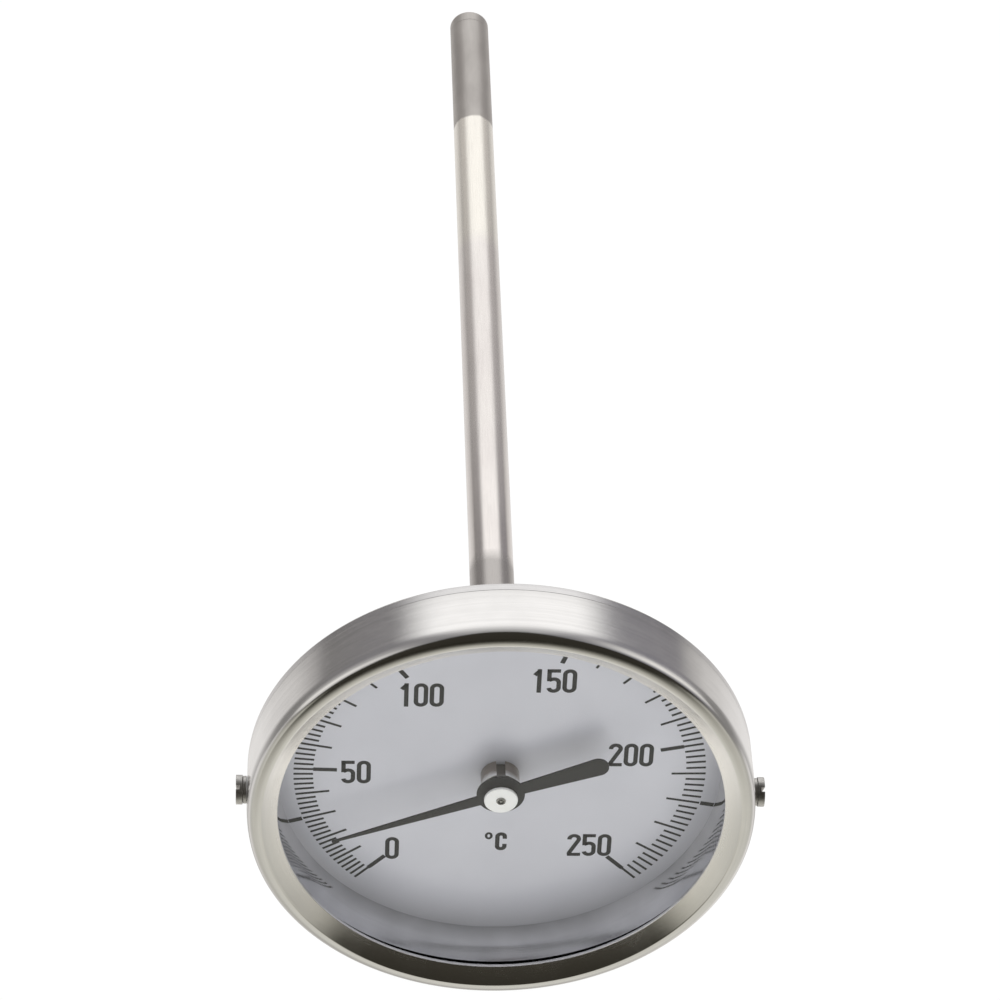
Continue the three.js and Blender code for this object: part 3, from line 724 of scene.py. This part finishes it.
bm = bmesh.new()
for temperature in range(0, 251, 2):
    angle = scale_angle(temperature)
    if temperature % 50 == 0:
        radial_bar(bm, angle, SCALE_RADIUS, TICK_END, LONG_TICK_WIDTH)
        radial_bar(bm, angle, TICK_END, FIFTY_END, FIFTY_WIDTH)
    elif temperature % 10 == 0:
        radial_bar(bm, angle, SCALE_RADIUS, TEN_END, LONG_TICK_WIDTH)
    else:
        radial_bar(bm, angle, SCALE_RADIUS, TICK_END, TICK_WIDTH)
# ends of the working range
for temperature in (30, 220):
    radial_bar(bm, scale_angle(temperature), *RANGE_MARK)
dress(from_bmesh("scale_marks", bm), "housing", "ink")


# ------------------------------------------------------------- scale figures

def arc_points(cx, cz, rx, rz, start, end, count):
    turns = [math.radians(start + (end - start) * i / count) for i in range(count + 1)]
    return [(cx + rx * math.cos(turn), cz + rz * math.sin(turn)) for turn in turns]


def glyph(char, width, height, pen):
    """Centre lines (closed, points) of a character in a cell, drawn with a pen width."""
    across, tall = width - pen, height - pen     # extent of the centre lines
    low = pen / 2                                # left and bottom centre line
    r = across / 2
    if char in "0C":
        top = arc_points(low + r, low + tall - r, r, r, 0, 180, 20)
        bottom = arc_points(low + r, low + r, r, r, 180, 360, 20)
        if char == "0":
            return [(True, top + bottom)]
        return [(False, [(low + across, low + tall - r - 0.12 * height)] + top + bottom
                 + [(low + across, low + r + 0.12 * height)])]
    if char == "1":
        x = low + across * 0.62
        flag = [(x - 0.30 * width - pen * 0.1, height - 0.255 * height),
                (x + pen * 0.1, height - pen * 0.42)]
        return [(False, [(x, 0), (x, height)]), (False, flag)]
    if char == "2":
        bowl = arc_points(low + r, low + tall - r, r, r, 172, -28, 16)
        neck = [(low + 0.06 * across, low + 0.10 * tall), (low + 0.02 * across, low)]
        return [(False, [(low, low + tall - r - 0.02 * height)] + bowl + neck),
                (False, [(low - pen * 0.35, low), (width, low)])]
    if char == "5":
        bowl_top = low + tall * 0.60
        upper = arc_points(low + across - r, bowl_top - r, r, r, 118, 0, 12)
        lower = arc_points(low + r, low + r, r, r, 0, -172, 14)
        back_x = low + pen * 0.02
        return [(False, [(low, bowl_top - r * 0.38)] + upper + lower),
                (False, [(back_x, bowl_top - r * 0.62), (back_x, height - pen * 0.2)]),
                (False, [(low - pen * 0.48, low + tall), (width - pen * 0.15, low + tall)])]
    # "o", the degree sign
    return [(True, arc_points(width / 2, height / 2, r, tall / 2, 0, 350, 24))]


def ribbon(points, closed, pen):
    """Left and right edge of a stroke, mitred at the bends."""
    n = len(points)
    left, right = [], []
    for i in range(n):
        point = Vector(points[i])
        came = went = None
        if closed or i > 0:
            came = (point - Vector(points[(i - 1) % n])).normalized()
        if closed or i < n - 1:
            went = (Vector(points[(i + 1) % n]) - point).normalized()
        came = went if came is None else came
        went = came if went is None else went
        along = (came + went).normalized()
        normal = Vector((-along.y, along.x))
        mitre = 1.0 / max(0.5, normal.dot(Vector((-came.y, came.x))))
        left.append(point + normal * (pen / 2 * mitre))
        right.append(point - normal * (pen / 2 * mitre))
    return left, right


def write(bm, text, cx, cz, width, height, pen, gap=0.0):
    """Raised text centred on (cx, cz)."""
    left_x = cx - (width * len(text) + gap * (len(text) - 1)) / 2
    bottom_z = cz - height / 2
    for char in text:
        for closed, points in glyph(char, width, height, pen):
            edges = ribbon(points, closed, pen)
            front, back = (
                [[bm.verts.new(place(left_x + q.x, y, bottom_z + q.y)) for q in edge]
                 for edge in edges] for y in (INK_FRONT, INK_BACK))
            n = len(points)
            for i in range(n if closed else n - 1):
                j = (i + 1) % n
                bm.faces.new((front[0][i], front[0][j], front[1][j], front[1][i]))
                bm.faces.new((back[1][i], back[1][j], back[0][j], back[0][i]))
                bm.faces.new((front[0][j], front[0][i], back[0][i], back[0][j]))
                bm.faces.new((front[1][i], front[1][j], back[1][j], back[1][i]))
            if not closed:
                for i in (0, n - 1):
                    bm.faces.new((front[0][i], front[1][i], back[1][i], back[0][i]))
        left_x += width + gap


# text, centre x, centre z
FIGURES = [
    ("0", -22.66, -22.67), ("50", -30.76, 0.51), ("100", -17.41, 23.35),
    ("150", 10.36, 27.61), ("200", 27.76, 5.99), ("250", 20.17, -21.51),
]
bm = bmesh.new()
for text, cx, cz in FIGURES:
    write(bm, text, cx, cz, width=3.0, height=6.75, pen=0.94, gap=0.33)
write(bm, "C", cx=0.95, cz=-20.45, width=2.55, height=5.5, pen=0.95)
write(bm, "o", cx=-1.75, cz=-18.75, width=1.7, height=2.15, pen=0.55)
dress(from_bmesh("scale_figures", bm), "housing", "ink")

# ------------------------------------------------------------------- pointer

REST = math.radians(-112.2)      # pointer at rest, clockwise from 12 o'clock
BLADE_FRONT, BLADE_BACK = -7.95, -7.45
BLADE_HUB_RADIUS = 5.15
BLADE_HOLE_RADIUS = 1.05
TIP_REACH, TIP_HALF_WIDTH = 38.6, 0.18
TIP_ROOT_HALF_WIDTH = 1.25       # where the long arm meets the hub disc
TAIL_HALF_WIDTH = 1.45
TAIL_REACH, TAIL_END_RADIUS = 24.3, 2.35


def blade_outline():
    """(x, z) points with the tip at 12 o'clock."""
    hub = BLADE_HUB_RADIUS
    tip_angle = math.asin(TIP_ROOT_HALF_WIDTH / hub)
    tail_angle = math.asin(TAIL_HALF_WIDTH / hub)
    right = [(TIP_HALF_WIDTH, TIP_REACH), (TIP_ROOT_HALF_WIDTH, hub * math.cos(tip_angle))]
    for i in range(1, 40):
        turn = tip_angle + (math.pi - tail_angle - tip_angle) * i / 40
        right.append((hub * math.sin(turn), hub * math.cos(turn)))
    right.append((TAIL_HALF_WIDTH, -hub * math.cos(tail_angle)))
    tail_end = []
    centre = TAIL_REACH - TAIL_END_RADIUS
    for i in range(25):
        turn = 0.06 + (math.pi - 0.12) * i / 24
        tail_end.append((TAIL_END_RADIUS * math.cos(turn),
                         -centre - TAIL_END_RADIUS * math.sin(turn)))
    return right + tail_end + [(-x, z) for x, z in reversed(right)]


def at_rest(points):
    c, s = math.cos(REST), math.sin(REST)
    return [(x * c + z * s, -x * s + z * c) for x, z in points]


def edge_loop(bm, points, y):
    verts = [bm.verts.new(place(x, y, z)) for x, z in points]
    n = len(verts)
    return verts, [bm.edges.new((verts[i], verts[(i + 1) % n])) for i in range(n)]


bm = bmesh.new()
hole_turns = [2 * math.pi * i / 48 for i in range(48)]
blade_loops = (at_rest(blade_outline()),
               at_rest([(BLADE_HOLE_RADIUS * math.sin(turn), BLADE_HOLE_RADIUS * math.cos(turn))
                        for turn in hole_turns]))
sides = []
for y in (BLADE_FRONT, BLADE_BACK):
    (outer, outer_edges), (inner, inner_edges) = (edge_loop(bm, loop, y) for loop in blade_loops)
    bmesh.ops.triangle_fill(bm, edges=outer_edges + inner_edges, use_beauty=True,
                            use_dissolve=False)
    sides.append((outer, inner))
for front, back in zip(*sides):
    for i in range(len(front)):
        j = (i + 1) % len(front)
        bm.faces.new((front[i], front[j], back[j], back[i]))
blade = from_bmesh("pointer_blade_plate", bm, sharp_angle=35)
soften_edges(blade, width=0.09, segments=2)
dress(blade, "pointer", "enamel", "pointer_blade")

dress(turned("pointer_hub_sleeve", [
    (SPINDLE_FIT, -7.41, 0.05), (2.9, -7.41, 0.1), (2.9, -6.55, 0.15), (SPINDLE_FIT, -6.55, 0.05),
], around=64, steps=4), "pointer", "spindle", "pointer_hub")

dress(turned("pointer_cap_disc", [
    (SPINDLE_FIT, -9.7, 0.06), (3.6, -9.7, 0.22), (3.6, -9.1, 0.1), (2.3, -9.1, 0.1),
    (2.3, -7.99, 0.08), (SPINDLE_FIT, -7.99, 0.05),
], around=96), "pointer", "cap", "pointer_cap")

# the front end has a ring-shaped recess round a small centre pip
dress(turned("spindle_rod", [
    (0, -9.9), (0.3, -9.9, 0.03), (0.36, -9.5, 0.03), (0.68, -9.5, 0.03), (0.74, -9.95, 0.03),
    (SPINDLE_RADIUS, -9.95, 0.1), (SPINDLE_RADIUS, 204.2, 0.15), (0, 204.2),
], around=48, steps=4), "pointer", "spindle", "spindle")

# ------------------------------------------------------------- boss and stem

dress(turned("boss_gasket_ring", [
    (8.1, 4.04, 0.08), (11.0, 4.04, 0.12), (11.0, 4.46, 0.12), (8.1, 4.46, 0.08),
], around=96, steps=3), "housing", "rubber", "boss_gasket")

dress(turned("stem_tube_drawn", [
    (4.4, 1.0, 0.1), (TUBE_RADIUS, 1.0, 0.1), (TUBE_RADIUS, 275.4, 0.05), (4.4, 275.4, 0.05),
], around=96, steps=3), "housing", "stem", "stem_tube")

dress(turned("stem_tip_cap", [
    (0, 270.8), (PLUG_RADIUS, 270.8, 0.3), (PLUG_RADIUS, 275.44), (TUBE_RADIUS, 275.44, 0.05),
    (TUBE_RADIUS, 279.5, 1.2), (0, 279.5),
], around=96, steps=8), "housing", "stem", "stem_tip_plug")

# the boss flange has a spanner flat above and below
FLAT_HEIGHT = 10.5        # distance of the flats from the axis
FLAT_CUT = 8.0            # height of the box that cuts a flat
boss = turned("stem_boss_turned", [
    (5.04, 0.6, 0.1), (7.95, 0.6, 0.3), (7.95, 4.5), (12.0, 4.5, 0.5), (12.0, 10.5, 0.5),
    (7.6, 10.5), (7.6, 14.5, 0.8), (5.04, 14.5, 0.15),
], around=96, steps=5)
for sign in (1, -1):
    cut_box(boss, size=(30.0, 6.1, FLAT_CUT),
            centre=(0, 7.5, sign * (FLAT_HEIGHT + FLAT_CUT / 2)), sharp_angle=25)
dress(boss, "housing", "boss", "stem_boss")

dress(turned("helix_anchor_plug", [
    (0, 262.48), (PLUG_RADIUS, 262.48, 0.3), (PLUG_RADIUS, 267.3, 0.3), (0, 267.3),
], around=64, steps=4), "housing", "plate", "helix_anchor")

dress(turned("helix_coupling_hub", [
    (0, 206.32), (3.3, 206.32, 0.3), (3.3, 203.8, 0.2), (1.9, 203.2, 0.2), (1.9, 198.4, 0.2),
    (SPINDLE_FIT, 198.4, 0.1), (SPINDLE_FIT, 204.4), (0, 204.4),
], around=48, steps=4), "pointer", "brass", "helix_coupling")

GUIDE_LENGTH = 5
for level, y in (("upper", 3.0), ("middle", 95.0), ("lower", 188.0)):
    end = y + GUIDE_LENGTH
    dress(turned("guide_bush_" + level + "_turned", [
        (GUIDE_BORE, y, 0.1), (PLUG_RADIUS, y, 0.25),
        (PLUG_RADIUS, end, 0.25), (GUIDE_BORE, end, 0.1),
    ], around=64, steps=4), "housing", "brass", "guide_bush_" + level)

# the lock nut keeps its CAD shape
lock_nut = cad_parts["boss_lock_nut"]
lock_nut.data.materials.clear()
lock_nut.data.materials.append(MATERIALS["plate"])

# --------------------------------------------------------------- side screws

SCREW_Y = -6.6
WASHER_SEAT = 53.98       # |x| of the washer's inner face
WASHER_RADIUS, WASHER_THICK = 2.95, 0.8
HEAD_SEAT = WASHER_SEAT + 0.85
HEAD_RADIUS, HEAD_THICK = 3.15, 1.4
SLOT_BOX = (2.0, 0.9, 9.0)
SLOT_DEPTH = 0.75
SLOT_TILT = 35


def disc_x(name, radius, x0, x1, around):
    """Disc along x at the height of the screws."""
    bm = bmesh.new()
    turns = [2 * math.pi * k / around for k in range(around)]
    first, last = (
        [bm.verts.new(place(x, SCREW_Y + radius * math.cos(turn), radius * math.sin(turn)))
         for turn in turns] for x in (x0, x1))
    bm.faces.new(first)
    bm.faces.new(last[::-1])
    for k in range(around):
        j = (k + 1) % around
        bm.faces.new((first[j], first[k], last[k], last[j]))
    return from_bmesh(name, bm, sharp_angle=40)


for side, sign in (("left", -1), ("right", 1)):
    washer = disc_x("bezel_washer_" + side + "_plate", WASHER_RADIUS,
                    sign * WASHER_SEAT, sign * (WASHER_SEAT + WASHER_THICK), around=48)
    soften_edges(washer, width=0.15, segments=3)
    dress(washer, "housing", "screw", "bezel_washer_" + side)

    head = disc_x("bezel_screw_" + side + "_head", HEAD_RADIUS,
                  sign * HEAD_SEAT, sign * (HEAD_SEAT + HEAD_THICK), around=64)
    slot_x = HEAD_SEAT + HEAD_THICK + SLOT_BOX[0] / 2 - SLOT_DEPTH
    cut_box(head, SLOT_BOX, centre=(sign * slot_x, SCREW_Y, 0), sharp_angle=40, tilt=SLOT_TILT)
    soften_edges(head, width=0.18, segments=3)
    dress(head, "housing", "screw", "bezel_screw_" + side)

# --------------------------------------------------------------------- helix
# coiled strip between the coupling and the anchor

HELIX_START, HELIX_END = 206.4, 262.4
HELIX_RADIUS = 3.1
HELIX_TURNS, STEPS_PER_TURN = 13, 40
STRIP_HALF_THICK, STRIP_HALF_WIDTH = 0.225, 1.3

section = [(-STRIP_HALF_THICK, -STRIP_HALF_WIDTH), (STRIP_HALF_THICK, -STRIP_HALF_WIDTH),
           (STRIP_HALF_THICK, STRIP_HALF_WIDTH), (-STRIP_HALF_THICK, STRIP_HALF_WIDTH)]
first_y, last_y = HELIX_START + STRIP_HALF_WIDTH, HELIX_END - STRIP_HALF_WIDTH
count = HELIX_TURNS * STEPS_PER_TURN
verts, faces = [], []
for i in range(count + 1):
    turn = 2 * math.pi * i / STEPS_PER_TURN
    y = first_y + (last_y - first_y) * i / count
    for dr, dy in section:
        radius = HELIX_RADIUS + dr
        verts.append(place(radius * math.sin(turn), y + dy, radius * math.cos(turn)))
for i in range(count):
    for k in range(4):
        a, b = i * 4 + k, i * 4 + (k + 1) % 4
        faces.append((a, b, b + 4, a + 4))
faces += [(3, 2, 1, 0), tuple(count * 4 + k for k in range(4))]
strip = bpy.data.meshes.new("bimetal_coil")
strip.from_pydata(verts, [], faces)
bm = bmesh.new()
bm.from_mesh(strip)
bpy.data.meshes.remove(strip)
coil = from_bmesh("bimetal_coil", bm, sharp_angle=40)
coil.data.materials.append(MATERIALS["bimetal"])
place(0, HELIX_START, 0)
place(0, HELIX_END, 0)
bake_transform(coil)
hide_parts("bimetal_helix")

# --------------------------------------------------------------------- floor

WHITE_LEVEL = 1.02        # brightness of floor and background as seen by the camera
FLOOR_HALF = 6.0          # metres
FLOOR_GAP = 0.0004        # metres below the case


def floor_material():
    """White that glows, with a faint painted contact shadow near the case, invisible from below."""
    g = new_material("floor_white")
    # painted contact shadow from ambient occlusion
    near = g.add("AmbientOcclusion", settings={"samples": 8}, Distance=0.03, output="AO")
    shade = near.fade(over=(0.0, 1.0), to=(0.975, 1.0))
    grain = g.noise(g.millimetres(), scale=0.02)
    white = g.mix(grain.fade(over=(0.0, 1.0), to=(0.0, 0.004)), 1.0, (0.97, 0.97, 0.96))
    colour = g.mix(1.0, white, g.vector(shade, shade, shade), "MULTIPLY")
    glow = g.add("Emission", Color=colour, Strength=WHITE_LEVEL)
    below = g.add("NewGeometry", output="Backfacing")
    return g.surface(g.add("MixShader", below, glow, g.add("BsdfTransparent")))


floor_mesh = bpy.data.meshes.new("floor")
floor_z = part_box("case_cup")[0].z - FLOOR_GAP
floor_corners = [(x * FLOOR_HALF, y * FLOOR_HALF, floor_z)
                 for x, y in ((-1, -1), (1, -1), (1, 1), (-1, 1))]
floor_mesh.from_pydata(floor_corners, [], [(0, 1, 2, 3)])
floor = add_object("floor", floor_mesh)
floor.data.materials.append(floor_material())
for ray in ("diffuse", "glossy", "transmission", "volume_scatter", "shadow"):
    setattr(floor, "visible_" + ray, False)

# --------------------------------------------------------------------- world
# What the metal reflects: white table below, white panel behind and above, a soft lamp at
# either side, dark room in front. Angles are in degrees:
#   elev   above the horizon
#   polar  from +y, the way the stem points
#   roll   about y: 0 up, 90 at +x, -90 at -x, 180 down
# Ramp tables: angle, then brightness or colour.

POLAR_SPAN = (0, 180)
ROLL_SPAN = (-180, 180)
ELEV_SPAN = (-90, 90)


def back_panel(g, polar, roll):
    """Grey surround with the white panel, narrower the further it comes overhead."""
    reach = abs(roll + -3.0) + (polar + -46.0).math("MAXIMUM", 0.0) * 1.15
    reach = reach + polar.fade(over=(41.8, 37.0), to=(0.0, -13.0))
    panel = reach.ease(over=(54.0, 30.0))
    panel_level = polar.ramp(POLAR_SPAN, [
        (30, 1.0), (45, 1.0), (49, 0.86), (57, 0.44), (65, 0.17), (75, 0.08), (89, 0.035),
        (110, 0.0)])
    grey = roll.ramp(ROLL_SPAN, [
        (-95, (0.24, 0.232, 0.225)), (-60, (0.225, 0.218, 0.228)), (-30, (0.26, 0.255, 0.26)),
        (0, (0.30, 0.30, 0.30)), (30, (0.255, 0.25, 0.262)), (60, (0.245, 0.24, 0.265)),
        (80, (0.262, 0.254, 0.275)), (95, (0.26, 0.252, 0.265))])
    dip = polar.ramp(POLAR_SPAN, [(40.6, 1.0), (41.6, 0.62), (42.3, 0.5), (42.8, 0.9), (43.2, 1.0)])
    grey = g.mix(1.0, grey, dip, "MULTIPLY")
    # light disc round the stem's direction
    disc = polar.ramp(POLAR_SPAN, [
        (30, 1.0), (36, 1.0), (36.8, 1.0), (37.5, 0.84), (38.4, 0.7), (39.3, 0.62), (40, 0.48),
        (40.6, 0.24), (41.3, 0.0)])
    grey = g.mix(disc, grey, (0.72, 0.69, 0.665))
    return g.mix(panel * panel_level, grey, (1.2, 1.19, 1.18))


def side_lamps(polar, side_roll, right_side):
    right = polar.ramp(POLAR_SPAN, [
        (55.5, 0.0), (57.5, 0.4), (60, 1.0), (69, 0.98), (79, 0.82), (90, 0.44), (100, 0.12),
        (110, 0.0)])
    right = right * side_roll.ramp(POLAR_SPAN, [
        (28, 0.0), (40, 0.3), (52, 0.8), (66, 1.0), (84, 0.95), (94, 0.4), (104, 0.0)])
    left = polar.ramp(POLAR_SPAN, [
        (56, 0.0), (62, 0.3), (82, 0.75), (97, 0.95), (108, 0.75), (120, 0.42), (132, 0.08),
        (140, 0.0)])
    left = left * side_roll.ramp(POLAR_SPAN, [
        (28, 0.0), (38, 0.3), (49, 0.72), (66, 1.0), (84, 0.95), (94, 0.4), (104, 0.0)])
    return right * right_side + left * (1.0 - right_side)


def dark_room(polar, side_roll, right_side):
    """The dark starts further forward at the sides than overhead."""
    side_start = right_side.fade(over=(0.0, 1.0), to=(119.0, 105.0))
    start = side_roll.fade(over=(28.0, 60.0), to=(94.0, side_start))
    start = start - side_roll.fade(over=(8.0, 28.0), to=(33.0, 0.0))
    return (polar - start).ease(over=(0.0, 13.0))


def white_paper(g, x, elev, polar):
    """Paper on the table: it ends a little short of the horizon in front."""
    back = elev.ramp(ELEV_SPAN, [
        (-90, (0.96, 0.935, 0.885)), (-68, (1.0, 0.97, 0.925)), (-54, (0.97, 0.945, 0.91)),
        (-42, (0.85, 0.83, 0.81)), (-33, (0.88, 0.86, 0.845)), (-24, (0.83, 0.81, 0.795)),
        (-12, (0.72, 0.70, 0.685)), (-4, (0.50, 0.485, 0.475)), (2, (0.27, 0.262, 0.27))])
    back_level = polar.ramp(POLAR_SPAN, [
        (30, 1.0), (46, 1.0), (50, 0.75), (56, 0.53), (62, 0.61), (68, 0.78), (73, 0.93),
        (90, 0.97)])
    back = g.mix(1.0, back, back_level, "MULTIPLY")
    # elevation, shifted so that the front edge bends at the sides and near x = -0.37
    bend = abs(x).fade(over=(0.38, 0.70), to=(0.0, -23.0)) * elev.ease(over=(1.0, -6.0))
    edge = (elev + bend) + abs(x + 0.37).ease(over=(0.26, 0.08), to=(1.2, 4.8))
    front = edge.ramp(ELEV_SPAN, [
        (-90, (0.735, 0.725, 0.675)), (-58, (0.735, 0.725, 0.665)), (-41, (0.68, 0.665, 0.60)),
        (-31, (0.50, 0.487, 0.43)), (-27, (0.37, 0.36, 0.31)), (-23.5, (0.19, 0.185, 0.155)),
        (-20, (0.07, 0.067, 0.055)), (-14, (0.022, 0.020, 0.014))])
    paper = g.mix(polar.ease(over=(84.0, 118.0)), back, front)
    # darker patch at either side, in front
    patch = abs(polar + -113.0).ease(over=(24.0, 4.0)) * abs(x).ease(over=(0.3, 0.6))
    patch = patch * elev.ease(over=(-66.0, -45.0), to=(0.0, 0.3))
    paper = g.mix(patch, paper, (0.2, 0.195, 0.175))
    # dim strip where the table meets the room at either side
    strip_end = x.ease(over=(-0.3, 0.3), to=(72.0, 118.0))
    strip = polar.ease(over=(43.5, 50.0)) * (polar - strip_end).ease(over=(18.0, 0.0))
    side = elev.ease(over=(-27.0, -14.0), to=(0.0, 0.95)) * abs(x).ease(over=(0.2, 0.45))
    return g.mix(strip * side, paper, (0.252, 0.245, 0.238))


def build_world():
    world = bpy.data.worlds.new("studio")
    world.cycles_visibility.diffuse = False
    bpy.context.scene.world = world
    g = Graph(world, "OutputWorld")
    direction = g.add("VectorMath", g.add("TexCoord", output="Generated"),
                      settings={"operation": "NORMALIZE"})
    x, y, z = g.split(direction)
    to_degrees = 180 / math.pi
    elev = z.math("ARCSINE") * to_degrees
    polar = y.math("ARCCOSINE") * to_degrees
    roll = x.math("ARCTAN2", z) * to_degrees
    side_roll = abs(roll)
    right_side = roll.fade(over=(-5.0, 5.0))

    upper = back_panel(g, polar, roll)
    upper = g.mix(side_lamps(polar, side_roll, right_side), upper, (1.02, 1.0, 0.96))
    upper = g.mix(dark_room(polar, side_roll, right_side), upper, (0.034, 0.031, 0.024))
    room = g.mix(elev.ease(over=(1.5, -3.0)), upper, white_paper(g, x, elev, polar))
    # the camera itself sees plain white
    g.surface(g.add("MixShader", g.add("LightPath", output="Is Camera Ray"),
                    g.add("Background", Color=room, Strength=1.0),
                    g.add("Background", Color=1.0, Strength=WHITE_LEVEL)))


build_world()


# -------------------------------------------------------------------- lights

def softbox(name, position, diameter, watts):
    """Disc lamp aimed at the rim centre, not seen in reflections. diameter in metres."""
    light = bpy.data.lights.new(name, "AREA")
    light.shape = "DISK"
    light.size = diameter
    light.energy = watts
    ob = add_object(name, light)
    ob.location = place(*position)
    aim = place(0, 0, 0) - ob.location
    ob.rotation_euler = aim.to_track_quat("-Z", "Y").to_euler()
    ob.visible_camera = False
    ob.visible_glossy = False
    ob.visible_transmission = False


softbox("front_wide", position=(0, -900, 0), diameter=2.0, watts=10.2)
softbox("table_bounce", position=(0, -600, -520), diameter=0.9, watts=1.1)

# ------------------------------------------------------------------ camera

CAMERA_POSITION = (-40.071, -621.271, 616.990)
CAMERA_AXES = (
    (0.99894, -0.029231, 0.035557),      # right
    (-0.007625, 0.656719, 0.754097),     # up
    (-0.045394, -0.753569, 0.655800),    # back
)
camera_data = bpy.data.cameras.new("camera")
camera_data.sensor_width = 36.0
camera_data.lens = 147.04
camera_data.clip_start = 0.01
camera_data.clip_end = 20.0
camera = add_object("camera", camera_data)
rotation = Matrix(CAMERA_AXES).transposed()
camera.matrix_world = Matrix.Translation(place(*CAMERA_POSITION)) @ rotation.to_4x4()

scene = bpy.context.scene
scene.camera = camera
scene.view_settings.view_transform = "Standard"
scene.view_settings.look = "None"
scene.view_settings.exposure = 0.0
scene.view_settings.gamma = 1.0
